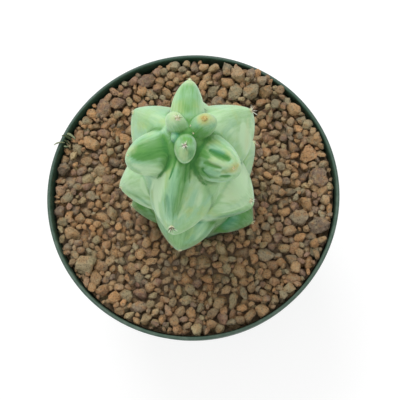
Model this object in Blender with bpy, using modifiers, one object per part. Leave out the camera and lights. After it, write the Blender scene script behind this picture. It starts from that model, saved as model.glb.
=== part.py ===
"""A blue myrtle cactus in a round nursery pot, dressed with gravel.

Units are metres and +Z is up. The origin is the middle of the pot's base.
Four pieces stand in one another: the pot, the potting mix that fills it, the
gravel that covers the mix, and the cactus, whose stem goes down through both.
"""

import math
import random
from collections import namedtuple

import bmesh
import bpy
from mathutils import Matrix, Vector
from mathutils.geometry import delaunay_2d_cdt

MM = 0.001
GAP = 0.3 * MM                     # clearance between pieces that touch

# The pot
POT_HEIGHT = 88 * MM
RIM_RADIUS = 52.7 * MM             # outside of the band round the mouth
BAND_HEIGHT = 12 * MM              # the band that stiffens the mouth
BAND_STEP = 1.5 * MM               # how far the band stands out from the wall below it
BAND_SLOPE = 0.5 * MM              # how much wider the band is at its top
LIP_ROUND = 0.45 * MM
WALL = 1.3 * MM
BASE_RADIUS = 38 * MM              # outside of the foot
FOOT_WIDTH = 3 * MM
FOOT_ROUND = 1.2 * MM
PAD_RADIUS = 22 * MM               # flat middle of the base, level with the foot
CHANNEL_RISE = 1.6 * MM            # the drainage channel stands this far off the table
DRAIN_COUNT = 8
DRAIN_RADIUS = 2.6 * MM
POT_STEPS = 48

# The filling
MIX_TOP = POT_HEIGHT - BAND_HEIGHT + GAP   # potting mix below the band, gravel inside it
BED_TOP = 83.4 * MM                # the hollows between the grains are about this high
GRAIN_RADII = (3.3 * MM, 2.8 * MM, 2.3 * MM, 1.9 * MM)
GRAIN_DARTS = (50, 300, 2500, 5000)   # places tried for each size, the largest first
GRAIN_SPACING = 0.93               # how near two grains may be, in sums of their radii
GRAIN_SIDES = 6
GRAIN_TOP = 0.72                   # how wide a grain is at its top, beside its foot
GRAIN_RISE = 0.95                  # how high its top is, in radii
GRAIN_WEAR = 0.12                  # how uneven its corners are, in radii
GRAIN_TILT = 0.35                  # the most that its top slopes
HOLLOW_WIDTH = 0.9                 # a hollow keeps this far from a grain, in radii
HOLLOW_DEPTH = 0.8 * MM
GRAIN_SEED = 11

# The cactus
STEM_X = 1.5 * MM                  # it stands a little off the middle of the pot
STEM_Y = 1.0 * MM
STEM_RADIUS = 16.5 * MM            # where it goes down through the gravel
ROOT_RADIUS = 11 * MM
ROOT_DEPTH = 28 * MM               # how far its end is below the bed
ROOT_TAPER = 3 * MM
RIBS = (30, 85, 143, 195, 260, 328)   # the directions of the six ribs, in degrees

# A whorl is three tubercles at one height, on every other rib. Its tips stand "reach"
# from the stem's axis and "tip" above the pot's rim, and point "tilt" degrees upwards.
# A tubercle is "long" from the middle of its swelling to its tip. It is "wide" to each
# side, "above" towards the crown and "below" the other way. Lengths are in millimetres.
# It may stand off its rib by a "turn" in degrees.
Whorl = namedtuple("Whorl", "first_rib tip reach tilt long wide above below side_power turn")
WHORLS = (
    Whorl(1, 3.0, 23.6, 3, 11.5, 10.5, 13.0, 3.4, 1.5, 0),
    Whorl(0, 18.0, 24.2, 6, 12.0, 11.0, 14.0, 13.0, 1.5, 0),
    Whorl(1, 33.0, 23.4, 10, 12.0, 11.0, 15.0, 13.0, 1.5, 0),
    Whorl(0, 48.5, 24.2, 30, 13.0, 10.5, 24.0, 12.0, 1.5, 0),
    Whorl(1, 61.0, 17.4, 15, 11.3, 6.4, 6.5, 10.0, 2.0, 0),
    Whorl(0, 71.0, 5.4, 62, 5.2, 3.1, 3.4, 4.4, 2.4, 0),
)
UP_POWER = 2.2                     # how round a tubercle is from above to below
ODD_TUBERCLES = {                  # what is added to a whorl's sizes, by whorl and rib
    (0, 328): {"reach": 0.3},
    (1, 260): {"reach": 1.0, "turn": -2.8},
    (3, 30): {"reach": -0.8, "turn": 6},
    (3, 143): {"reach": -2.7, "turn": -4.8},
    (3, 260): {"below": -3.0},
    (4, 85): {"reach": -0.4, "tip": 2.4, "wide": -1.0, "turn": 3.5},
    (4, 195): {"reach": 0.8, "above": -0.7, "turn": 3.5},
    (4, 328): {"reach": 1.0, "turn": 1},
    (5, 30): {"reach": 0.9, "above": -0.4, "turn": -8},
    (5, 143): {"long": -0.6, "wide": -0.6, "above": -0.6, "below": -0.6},
    (5, 260): {"reach": 1.2, "below": 0.8, "turn": 5},
}
LEAN_X = 1.7                       # how far the crown leans to the side, in millimetres
LEAN_Y = 1.4
LEAN_FROM = 50.0                   # the lean starts at this height over the rim
LEAN_HEIGHT = 20.0
CORE = ((0.0, 67.5), (3.5, 66.6), (7.0, 63.0), (10.5, 57.0), (13.5, 50.0), (15.8, 41.0),
        (17.0, 30.0), (17.4, 14.0), (17.2, 2.0))    # radius and height over the rim, in mm
CORE_STEPS = 24
AREOLE_RADIUS = 1.0 * MM
SPINE_COUNT = 6
SPINE_LENGTH = 2.2 * MM
SPINE_RADIUS = 0.26 * MM
SPINE_SPREAD = 52                  # degrees between a spine and the areole's axis


def clear_objects():
    for item in list(bpy.data.objects):
        bpy.data.objects.remove(item, do_unlink=True)


def new_collection(name):
    collection = bpy.data.collections.new(name)
    bpy.context.scene.collection.children.link(collection)
    return collection


def plain_material(name, colour, roughness):
    material = bpy.data.materials.new(name)
    material.use_nodes = True
    shader = material.node_tree.nodes["Principled BSDF"]
    shader.inputs["Base Color"].default_value = (*colour, 1.0)
    shader.inputs["Roughness"].default_value = roughness
    return material


def new_object(name, mesh, collection):
    item = bpy.data.objects.new(name, mesh)
    collection.objects.link(item)
    return item


def object_from_bmesh(name, shape, collection):
    mesh = bpy.data.meshes.new(name)
    shape.to_mesh(mesh)
    shape.free()
    return new_object(name, mesh, collection)


def turned(name, profile, steps, collection):
    """Turn a profile of (radius, height) points, given down its outer side, about +Z."""
    mesh = bpy.data.meshes.new(name)
    edges = [(i, i + 1) for i in range(len(profile) - 1)]
    mesh.from_pydata([(radius, 0.0, height) for radius, height in profile], edges, [])
    item = new_object(name, mesh, collection)
    screw = item.modifiers.new("Turn", "SCREW")
    screw.steps = steps
    screw.render_steps = steps
    screw.use_merge_vertices = True
    screw.merge_threshold = 0.00001
    return item


def apply_modifiers(item):
    """Keep the shape that the modifiers give, and drop the modifiers."""
    bpy.context.view_layer.update()
    evaluated = item.evaluated_get(bpy.context.evaluated_depsgraph_get())
    mesh = bpy.data.meshes.new_from_object(evaluated)
    mesh.materials.clear()
    item.modifiers.clear()
    item.data = mesh


def fuse(item, collection):
    """Join everything in a collection to one object, and remove the collection's objects."""
    join = item.modifiers.new("Join", "BOOLEAN")
    join.operation = "UNION"
    join.operand_type = "COLLECTION"
    join.collection = collection
    apply_modifiers(item)
    for piece in list(collection.objects):
        bpy.data.objects.remove(piece, do_unlink=True)


def cut(item, cutter):
    carve = item.modifiers.new("Cut " + cutter.name, "BOOLEAN")
    carve.operation = "DIFFERENCE"
    carve.object = cutter
    cutter.hide_render = True
    cutter.display_type = "WIRE"


def shade(item, angle):
    item.data.shade_smooth()
    item.data.set_sharp_from_angle(angle=math.radians(angle))


def inner_radius(height):
    """Half the width inside the pot at a height."""
    band_bottom = POT_HEIGHT - BAND_HEIGHT
    under_band = RIM_RADIUS - BAND_SLOPE - BAND_STEP - WALL
    if height > band_bottom:
        up = (height - band_bottom) / BAND_HEIGHT
        return under_band + BAND_STEP + BAND_SLOPE * up
    up = height / (band_bottom - BAND_STEP)
    return BASE_RADIUS - WALL + (under_band - BASE_RADIUS + WALL) * min(up, 1.0)


def arc(centre, radius, start, end, points):
    """Points along a round corner, from one angle to another, in degrees."""
    angles = [math.radians(start + (end - start) * i / (points - 1)) for i in range(points)]
    return [(centre[0] + radius * math.cos(a), centre[1] + radius * math.sin(a)) for a in angles]


def make_pot(parts, cutters):
    band_bottom = POT_HEIGHT - BAND_HEIGHT
    floor = CHANNEL_RISE + WALL
    channel_in = PAD_RADIUS + 2 * CHANNEL_RISE
    channel_out = BASE_RADIUS - FOOT_WIDTH - CHANNEL_RISE
    lip = (RIM_RADIUS - LIP_ROUND, POT_HEIGHT - LIP_ROUND)
    lip_in = (RIM_RADIUS - WALL + LIP_ROUND, POT_HEIGHT - LIP_ROUND)
    foot = (BASE_RADIUS - FOOT_ROUND, FOOT_ROUND)
    under_band = RIM_RADIUS - BAND_SLOPE - BAND_STEP
    profile = [
        (0.0, WALL),
        (PAD_RADIUS, WALL),
        (channel_in, floor),
        (inner_radius(floor), floor),
        (inner_radius(band_bottom - BAND_STEP), band_bottom - BAND_STEP),
        (inner_radius(band_bottom + GAP), band_bottom + GAP),
        *arc(lip_in, LIP_ROUND, 180, 90, 3),
        *arc(lip, LIP_ROUND, 90, 0, 3),
        (RIM_RADIUS - BAND_SLOPE, band_bottom),
        (under_band, band_bottom - GAP),
        *arc(foot, FOOT_ROUND, 0, -90, 4),
        (channel_out + CHANNEL_RISE, 0.0),
        (channel_out, CHANNEL_RISE),
        (channel_in, CHANNEL_RISE),
        (PAD_RADIUS, 0.0),
        (0.0, 0.0),
    ]
    pot = turned("pot", profile, POT_STEPS, parts)
    drill = bmesh.new()
    for number in range(DRAIN_COUNT):
        turn = Matrix.Rotation(math.tau * (number + 0.5) / DRAIN_COUNT, 4, "Z")
        place = turn @ Matrix.Translation(((channel_in + channel_out) / 2, 0.0, floor))
        bmesh.ops.create_cone(drill, cap_ends=True, segments=12, radius1=DRAIN_RADIUS,
                              radius2=DRAIN_RADIUS, depth=4 * floor, matrix=place)
    cut(pot, object_from_bmesh("drain_cutter", drill, cutters))
    apply_modifiers(pot)
    shade(pot, 40)
    pot.data.materials.append(plain_material("green plastic", (0.016, 0.075, 0.045), 0.42))
    return pot


def make_mix(parts, cutters):
    floor = CHANNEL_RISE + WALL + GAP
    shoulder = POT_HEIGHT - BAND_HEIGHT - BAND_STEP
    profile = [
        (0.0, MIX_TOP),
        (inner_radius(shoulder) - GAP, MIX_TOP),
        (inner_radius(shoulder) - GAP, shoulder),
        (inner_radius(floor) - GAP, floor),
        (0.0, floor),
    ]
    mix = turned("potting_mix", profile, POT_STEPS, parts)
    hole = bmesh.new()
    bottom = BED_TOP - ROOT_DEPTH - GAP
    place = Matrix.Translation((STEM_X, STEM_Y, (bottom + BED_TOP) / 2))
    bmesh.ops.create_cone(hole, cap_ends=True, segments=CORE_STEPS, depth=BED_TOP - bottom,
                          radius1=STEM_RADIUS + GAP, radius2=STEM_RADIUS + GAP, matrix=place)
    cut(mix, object_from_bmesh("hole_cutter", hole, cutters))
    apply_modifiers(mix)
    shade(mix, 40)
    mix.data.materials.append(plain_material("potting mix", (0.045, 0.026, 0.016), 0.95))
    return mix


def scatter(rng):
    """Choose where the grains lie: the largest first, each clear of those before it."""
    grains = []
    for radius, darts in zip(GRAIN_RADII, GRAIN_DARTS):
        outer = inner_radius(BED_TOP) - GAP - radius
        for _ in range(darts):
            distance = outer * math.sqrt(rng.random())
            angle = math.tau * rng.random()
            x = distance * math.cos(angle)
            y = distance * math.sin(angle)
            if math.hypot(x - STEM_X, y - STEM_Y) < STEM_RADIUS + GAP + radius:
                continue
            if all(math.hypot(x - a, y - b) > GRAIN_SPACING * (radius + c) for a, b, c in grains):
                grains.append((x, y, radius))
    return grains


def grain_corners(x, y, radius, rng):
    """The corners of a grain's top, which slopes a little and is worn unevenly."""
    slope = rng.uniform(0, GRAIN_TILT)
    downhill = rng.uniform(0, math.tau)
    for number in range(GRAIN_SIDES):
        angle = math.tau * (number + rng.uniform(-0.2, 0.2)) / GRAIN_SIDES
        out = radius * (GRAIN_TOP + rng.uniform(-GRAIN_WEAR, GRAIN_WEAR))
        height = radius * (GRAIN_RISE + rng.uniform(-GRAIN_WEAR, GRAIN_WEAR))
        height -= out * slope * math.cos(angle - downhill)
        yield (x + out * math.cos(angle), y + out * math.sin(angle), BED_TOP + height)


def ring(radius, steps, centre=(0.0, 0.0)):
    """A ring of points at the bed's height."""
    angles = [math.tau * i / steps for i in range(steps)]
    return [(centre[0] + radius * math.cos(a), centre[1] + radius * math.sin(a), BED_TOP)
            for a in angles]


def hollows(grains, rng):
    """The low points between every two and every three grains that are neighbours."""
    middles = [Vector((x, y)) for x, y, _ in grains]
    radii = [radius for _, _, radius in grains]
    _, pairs, triangles, _, _, _ = delaunay_2d_cdt(middles, [], [], 0, 1e-6)
    spots = [sum((middles[c] for c in corners), Vector((0, 0))) / 3 for corners in triangles]
    for a, b in pairs:
        spots.append(middles[a].lerp(middles[b], radii[a] / (radii[a] + radii[b])))
    for spot in spots:
        stem_gap = math.hypot(spot.x - STEM_X, spot.y - STEM_Y) - STEM_RADIUS
        wall_gap = inner_radius(BED_TOP) - spot.length
        clear = all(math.hypot(spot.x - x, spot.y - y) > HOLLOW_WIDTH * r for x, y, r in grains)
        if clear and stem_gap > 1 * MM and wall_gap > 1 * MM:
            yield (spot.x, spot.y, BED_TOP - rng.uniform(0, HOLLOW_DEPTH))


def make_gravel(parts):
    """One layer of grains: their tops and the hollows between them, made one surface."""
    rng = random.Random(GRAIN_SEED)
    grains = scatter(rng)
    bottom = MIX_TOP + GAP
    spots = ring(inner_radius(bottom) - GAP, POT_STEPS)
    spots += ring(STEM_RADIUS + GAP, CORE_STEPS, (STEM_X, STEM_Y))
    for x, y, radius in grains:
        spots += grain_corners(x, y, radius, rng)
    spots += hollows(grains, rng)
    flat = [Vector((x, y)) for x, y, _ in spots]
    _, _, triangles, _, _, _ = delaunay_2d_cdt(flat, [], [], 0, 1e-6)
    shape = bmesh.new()
    corners = [shape.verts.new(spot) for spot in spots]
    for triangle in triangles:
        middle = sum((flat[c] for c in triangle), Vector((0, 0))) / 3
        if math.hypot(middle.x - STEM_X, middle.y - STEM_Y) > STEM_RADIUS:
            shape.faces.new([corners[c] for c in triangle])
    edge = [e for e in shape.edges if e.is_boundary]
    sides = bmesh.ops.extrude_edge_only(shape, edges=edge)["geom"]
    for corner in sides:
        if isinstance(corner, bmesh.types.BMVert):
            corner.co.z = bottom
    rims = [e for e in sides if isinstance(e, bmesh.types.BMEdge) and e.is_boundary]
    bmesh.ops.triangle_fill(shape, edges=rims, use_beauty=True)
    bmesh.ops.recalc_face_normals(shape, faces=shape.faces)
    gravel = object_from_bmesh("gravel", shape, parts)
    shade(gravel, 25)
    gravel.data.materials.append(plain_material("gravel", (0.33, 0.2, 0.13), 0.9))
    return gravel


def taper(out, power):
    """How wide a tubercle is at a point along it, beside a ball: 1 in the middle, 0 at the tip."""
    if out <= 0 or out >= 1:
        return 1.0
    return (1 - out ** power) ** (1.25 / power) / math.sqrt(1 - out * out)


def tubercle_point(whorl, out, side, up):
    """Where a point of a unit ball goes in a tubercle: out from the axis, aside and up."""
    tilt = math.radians(whorl.tilt)
    along = (out - 1) * whorl.long
    across = up * taper(out, UP_POWER) * (whorl.above if up > 0 else whorl.below)
    return Vector((whorl.reach + along * math.cos(tilt) - across * math.sin(tilt),
                   side * taper(out, whorl.side_power) * whorl.wide,
                   whorl.tip + along * math.sin(tilt) + across * math.cos(tilt))) * MM


def lean(point):
    """Shift a point with the crown's lean, which grows from nothing up the stem."""
    up = max((point.z - POT_HEIGHT) / MM - LEAN_FROM, 0.0) / LEAN_HEIGHT
    return point + Vector((LEAN_X, LEAN_Y, 0.0)) * MM * up * up


def place_on_stem(direction):
    """The frame whose X looks in a direction, with its origin on the axis, level with the rim."""
    turn = Matrix.Rotation(math.radians(direction), 4, "Z")
    return Matrix.Translation((STEM_X, STEM_Y, POT_HEIGHT)) @ turn


def make_tubercle(whorl, rib, collection):
    shape = bmesh.new()
    lie_down = Matrix.Rotation(math.pi / 2, 4, "Y")
    bmesh.ops.create_uvsphere(shape, u_segments=14, v_segments=10, radius=1.0, matrix=lie_down)
    place = place_on_stem(rib + whorl.turn)
    for corner in shape.verts:
        corner.co = lean(place @ tubercle_point(whorl, *corner.co))
    return object_from_bmesh("tubercle", shape, collection)


def make_areole(whorl, rib, collection):
    """The small woolly cushion on a tubercle's tip, and its ring of short spines."""
    tip = tubercle_point(whorl, 1.0, 0.0, 0.0)
    tilt = math.radians(whorl.tilt)
    facing = Vector((math.cos(tilt), 0.0, math.sin(tilt)))
    seat = tip - facing * AREOLE_RADIUS * 0.5
    place = place_on_stem(rib + whorl.turn) @ Matrix.Translation(seat)
    frame = place @ facing.to_track_quat("Z", "X").to_matrix().to_4x4()
    frame.translation = lean(frame.translation)
    cushion = bmesh.new()
    bmesh.ops.create_icosphere(cushion, subdivisions=1, radius=AREOLE_RADIUS, matrix=frame)
    object_from_bmesh("areole", cushion, collection)
    for number in range(SPINE_COUNT):
        spine = bmesh.new()
        turn = Matrix.Rotation(math.tau * number / SPINE_COUNT, 4, "Z")
        turn @= Matrix.Rotation(math.radians(SPINE_SPREAD if number else 0), 4, "Y")
        seat = Matrix.Translation((0.0, 0.0, SPINE_LENGTH / 2 + AREOLE_RADIUS * 0.4))
        bmesh.ops.create_cone(spine, cap_ends=True, segments=3, radius1=SPINE_RADIUS,
                              radius2=SPINE_RADIUS * 0.3, depth=SPINE_LENGTH,
                              matrix=frame @ turn @ seat)
        object_from_bmesh("spine", spine, collection)


def make_cactus(parts):
    root_end = BED_TOP - ROOT_DEPTH
    profile = [(radius * MM, POT_HEIGHT + height * MM) for radius, height in CORE]
    profile += [(STEM_RADIUS, BED_TOP + ROOT_TAPER), (STEM_RADIUS, root_end + 3 * ROOT_TAPER),
                (ROOT_RADIUS, root_end + ROOT_TAPER), (0.0, root_end)]
    cactus = turned("cactus", profile, CORE_STEPS, parts)
    apply_modifiers(cactus)
    for corner in cactus.data.vertices:
        corner.co = lean(corner.co + Vector((STEM_X, STEM_Y, 0.0)))
    pieces = new_collection("tubercles")
    for number, whorl in enumerate(WHORLS):
        for rib in RIBS[whorl.first_rib::2]:
            odd = ODD_TUBERCLES.get((number, rib), {})
            own = whorl._replace(**{size: getattr(whorl, size) + odd[size] for size in odd})
            make_tubercle(own, rib, pieces)
            make_areole(own, rib, pieces)
    fuse(cactus, pieces)
    bpy.data.collections.remove(pieces)
    shade(cactus, 35)
    cactus.data.materials.append(plain_material("cactus skin", (0.3, 0.52, 0.33), 0.55))
    return cactus


def main():
    clear_objects()
    parts = new_collection("potted_blue_myrtle_cactus")
    cutters = new_collection("cutters")
    cutters.hide_render = True
    make_pot(parts, cutters)
    make_mix(parts, cutters)
    make_gravel(parts)
    make_cactus(parts)


main()
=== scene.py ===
# %% [markdown]
# # A potted blue myrtle cactus, dressed
#
# The construction already gives four solids in their real places: a nursery pot, the
# potting mix in it, a layer of gravel and the cactus. Here each one gets its finish.
# The pot is turned again with rounder corners, every stone of the gravel becomes a stone
# of its own, and the cactus gets a fine skin with its waxy bloom, wool and spines.
# We start from the frame, because everything has to lie where its solid lies.

# %% Load the frame
import math
import random
from collections import namedtuple

import bmesh
import bpy
import numpy as np
from mathutils import Matrix, Vector, noise
from mathutils.bvhtree import BVHTree


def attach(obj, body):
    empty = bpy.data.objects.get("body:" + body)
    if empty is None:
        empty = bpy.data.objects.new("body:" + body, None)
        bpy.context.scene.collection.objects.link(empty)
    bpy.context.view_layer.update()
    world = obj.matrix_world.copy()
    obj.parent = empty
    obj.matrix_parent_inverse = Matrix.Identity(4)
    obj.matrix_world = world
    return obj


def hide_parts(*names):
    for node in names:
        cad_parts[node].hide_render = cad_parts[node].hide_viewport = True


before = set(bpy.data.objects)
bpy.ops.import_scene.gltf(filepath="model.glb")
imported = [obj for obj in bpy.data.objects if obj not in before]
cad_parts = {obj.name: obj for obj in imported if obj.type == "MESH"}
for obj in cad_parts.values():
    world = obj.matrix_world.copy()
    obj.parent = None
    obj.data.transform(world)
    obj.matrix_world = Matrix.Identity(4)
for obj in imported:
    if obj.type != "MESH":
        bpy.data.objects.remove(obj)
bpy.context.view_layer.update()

MM = 0.001

# %% [markdown]
# ## Small helpers
#
# A piece is a mesh that rides on the body "root", stands for a solid, whose own mesh is
# hidden, and gets a material made here. One function that does all of this keeps the later
# cells short. Meshes that numpy works out, such as stones, are made from arrays of points
# and faces, since a loop over single corners would be slow.

# %% Helpers for pieces


def finish_piece(item, material, node):
    """Give a piece its material and its body, and hide the solid that it stands for."""
    item.data.materials.clear()
    item.data.materials.append(material)
    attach(item, "root")
    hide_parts(node)
    faces = sum(len(face.vertices) - 2 for face in item.data.polygons)
    print(f"{item.name}: {faces} triangles")


def new_object(name, mesh):
    item = bpy.data.objects.new(name, mesh)
    bpy.context.scene.collection.objects.link(item)
    return item


def object_from_bmesh(name, shape):
    mesh = bpy.data.meshes.new(name)
    shape.to_mesh(mesh)
    shape.free()
    return new_object(name, mesh)


def object_from_arrays(name, points, faces):
    mesh = bpy.data.meshes.new(name)
    mesh.from_pydata(points.tolist(), [], faces.tolist())
    return new_object(name, mesh)


def apply_modifiers(item):
    """Keep the shape that the modifiers give, and drop the modifiers."""
    bpy.context.view_layer.update()
    evaluated = item.evaluated_get(bpy.context.evaluated_depsgraph_get())
    mesh = bpy.data.meshes.new_from_object(evaluated)
    item.modifiers.clear()
    item.data = mesh


def drop(item):
    bpy.data.objects.remove(item, do_unlink=True)


def paint(item, name, values):
    """Store one number for each corner point of a mesh, for the material to read."""
    attribute = item.data.attributes.new(name, "FLOAT", "POINT")
    attribute.data.foreach_set("value", np.asarray(values, np.float32))


def corners(item, what="co"):
    """One vector for each corner point: "co" is its place, "normal" the way out of the skin."""
    vectors = np.zeros(len(item.data.vertices) * 3, np.float32)
    item.data.vertices.foreach_get(what, vectors)
    return vectors.reshape(-1, 3).astype(float)


def move_corners(item, points):
    item.data.vertices.foreach_set("co", points.astype(np.float32).ravel())
    item.data.update()


def smooth_step(values, low, high):
    """Rise smoothly from 0 at low to 1 at high."""
    share = np.clip((values - low) / (high - low), 0, 1)
    return share * share * (3 - 2 * share)


# %% [markdown]
# ## Helpers for materials
#
# Every finish here is a graph of nodes: noise at the size of the real marks, ramps that
# turn it into colours, and bump. Building the graph by hand takes four lines a node, so
# one function makes a node, sets it and links it, and a few short ones name the
# combinations that come again and again.

# %% Helpers for materials


def new_material(name, roughness):
    material = bpy.data.materials.new(name)
    material.use_nodes = True
    tree = material.node_tree
    shader = tree.nodes["Principled BSDF"]
    shader.inputs["Roughness"].default_value = roughness
    return material, tree, shader


def plug(tree, node, sockets):
    """Set a node's sockets. Each takes a plain value or the output of another node."""
    for socket, value in sockets.items():
        if isinstance(value, bpy.types.NodeSocket):
            tree.links.new(value, node.inputs[socket])
        else:
            node.inputs[socket].default_value = value


def add(tree, kind, sockets, **settings):
    """Make a node with its settings, and set its sockets."""
    made = tree.nodes.new("ShaderNode" + kind)
    for setting, value in settings.items():
        setattr(made, setting, value)
    plug(tree, made, sockets)
    return made


def place_in(tree):
    """The point of the surface that is being shaded, in metres."""
    return add(tree, "TexCoord", {}).outputs["Object"]


def stretched(tree, vector, scale):
    return add(tree, "Mapping", {"Vector": vector, "Scale": scale}).outputs["Vector"]


def grain(tree, vector, size, detail, roughness=0.55):
    """Cloudy noise whose marks are about size metres across."""
    sockets = {"Vector": vector, "Scale": 1 / size, "Detail": detail, "Roughness": roughness}
    return add(tree, "TexNoise", sockets).outputs["Fac"]


def attribute(tree, name):
    return add(tree, "Attribute", {}, attribute_name=name).outputs["Fac"]


def sharpen(tree, value, low, high, start=0.0, end=1.0):
    """Map the range from low to high onto the range from start to end, smoothly."""
    sockets = {"Value": value, 1: low, 2: high, 3: start, 4: end}
    made = add(tree, "MapRange", sockets, interpolation_type="SMOOTHSTEP")
    return made.outputs["Result"]


def sums(tree, operation, first, second):
    return add(tree, "Math", {0: first, 1: second}, operation=operation).outputs["Value"]


def mixed(tree, factor, first, second):
    """Mix two colours."""
    return add(tree, "Mix", {0: factor, 6: first, 7: second}, data_type="RGBA").outputs[2]


def ramp(tree, factor, stops):
    """Turn a number into a colour, from stops of (place, colour)."""
    made = add(tree, "ValToRGB", {"Fac": factor})
    colours = made.color_ramp.elements
    while len(colours) < len(stops):
        colours.new(1.0)
    for element, (place, colour) in zip(colours, stops):
        element.position = place
        element.color = colour
    return made.outputs["Color"]


def bump(tree, height, distance, under=None):
    """Bump of a real height in metres, on top of another bump if one is given."""
    sockets = {"Height": height, "Distance": distance, "Strength": 1.0}
    if under:
        sockets["Normal"] = under
    return add(tree, "Bump", sockets).outputs["Normal"]


# %% [markdown]
# ## The camera
#
# The picture looks almost straight down into the pot, from about 30 cm above its rim,
# leaning a little towards the near side. The rim's ellipse gives the tilt, and the
# way the crown hides the stem gives the distance. The camera is built from a point that
# it looks at, two angles for the way back to it, and a distance, because each of these
# can be fitted to the picture by itself.

# %% Camera
RIM_HEIGHT = 88 * MM
LOOK_AT = Vector((2.9 * MM, -3.0 * MM, RIM_HEIGHT))
CAMERA_TILT = math.radians(13.31)
CAMERA_SIDE = math.radians(-76.6)
CAMERA_DISTANCE = 301 * MM
CAMERA_LENS = 75.6

camera_data = bpy.data.cameras.new("camera")
camera_data.sensor_width = 36
camera_data.lens = CAMERA_LENS
camera_data.clip_start = 0.01
camera = new_object("camera", camera_data)
back = Vector((math.cos(CAMERA_SIDE) * math.sin(CAMERA_TILT),
               math.sin(CAMERA_SIDE) * math.sin(CAMERA_TILT), math.cos(CAMERA_TILT)))
right = Vector((0, 1, 0)).cross(back).normalized()
turn = Matrix((right, back.cross(right), back)).transposed().to_4x4()
camera.matrix_world = Matrix.Translation(LOOK_AT + back * CAMERA_DISTANCE) @ turn
bpy.context.scene.camera = camera
print("camera at", [round(x, 3) for x in camera.location])

# %% [markdown]
# ## Light and floor
#
# The picture is lit like a product shot: a white table that goes on into a white room,
# and one big soft light, high on the far side. A white world gives the room, and a wide
# area light gives the stones and tubercles their soft shadows. The floor glows a little,
# so that it is as white as the room, and the plain view transform keeps white as white.

# %% Light and floor
WORLD_STRENGTH = 0.80
SOFT_BOX_POWER = 2.2
SOFT_BOX_SIZE = 0.30
SOFT_BOX_PLACE = Vector((-0.12, 0.34, 0.62))
SOFT_BOX_AIM = Vector((0, 0, 0.1))
FLOOR_SIZE = 60.0
FLOOR_GLOW = 0.745

world = bpy.data.worlds.new("white room")
bpy.context.scene.world = world
world.use_nodes = True
plug(world.node_tree, world.node_tree.nodes["Background"],
     {"Color": (1.0, 1.0, 1.0, 1.0), "Strength": WORLD_STRENGTH})
bpy.context.scene.view_settings.view_transform = "Standard"

soft_box = bpy.data.lights.new("soft box", "AREA")
soft_box.energy = SOFT_BOX_POWER
soft_box.size = SOFT_BOX_SIZE
lamp = new_object("soft_box", soft_box)
lamp.location = SOFT_BOX_PLACE
lamp.rotation_euler = (SOFT_BOX_AIM - SOFT_BOX_PLACE).to_track_quat("-Z", "Y").to_euler()

floor_shape = bmesh.new()
bmesh.ops.create_grid(floor_shape, x_segments=1, y_segments=1, size=FLOOR_SIZE / 2)
floor = object_from_bmesh("floor", floor_shape)
paper, tree, shader = new_material("white paper", 0.9)
plug(tree, shader, {"Base Color": (0.3, 0.3, 0.3, 1.0), "Emission Color": (1.0, 1.0, 1.0, 1.0),
                    "Emission Strength": FLOOR_GLOW})
floor.data.materials.append(paper)

# %% [markdown]
# ## The pot
#
# A nursery pot is injection moulded from thin green plastic, with a band that stiffens
# its mouth and a raised channel with drain holes in its base. It is a turned shape, so
# one profile and a Screw modifier make it, and a Boolean modifier drills the holes.
# Round corners catch the light as a thin bright line along the rim, so the lip, band
# and foot get real arcs here.

# %% Pot
BAND_HEIGHT = 12 * MM
BAND_STEP = 1.5 * MM
BAND_SLOPE = 0.5 * MM
RIM_RADIUS = 52.7 * MM
LIP_ROUND = 0.6 * MM
WALL = 1.3 * MM
BASE_RADIUS = 38 * MM
FOOT_WIDTH = 3 * MM
FOOT_ROUND = 1.2 * MM
PAD_RADIUS = 22 * MM
CHANNEL_RISE = 1.6 * MM
DRAIN_COUNT = 8
DRAIN_RADIUS = 2.6 * MM
DRILL_LENGTH = 12 * MM
GAP = 0.3 * MM
POT_STEPS = 192
ARC_STEPS = 6
SHARP_ANGLE = math.radians(35)


def inner_radius(height):
    """Half the width inside the pot at a height."""
    band_bottom = RIM_HEIGHT - BAND_HEIGHT
    under_band = RIM_RADIUS - BAND_SLOPE - BAND_STEP - WALL
    if height > band_bottom:
        return under_band + BAND_STEP + BAND_SLOPE * (height - band_bottom) / BAND_HEIGHT
    up = height / (band_bottom - BAND_STEP)
    return BASE_RADIUS - WALL + (under_band - BASE_RADIUS + WALL) * min(up, 1.0)


def arc(centre, radius, start, end):
    """Points along a round corner, from one angle to another, in degrees."""
    turn = end - start
    angles = [math.radians(start + turn * i / ARC_STEPS) for i in range(ARC_STEPS + 1)]
    return [(centre[0] + radius * math.cos(a), centre[1] + radius * math.sin(a)) for a in angles]


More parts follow.
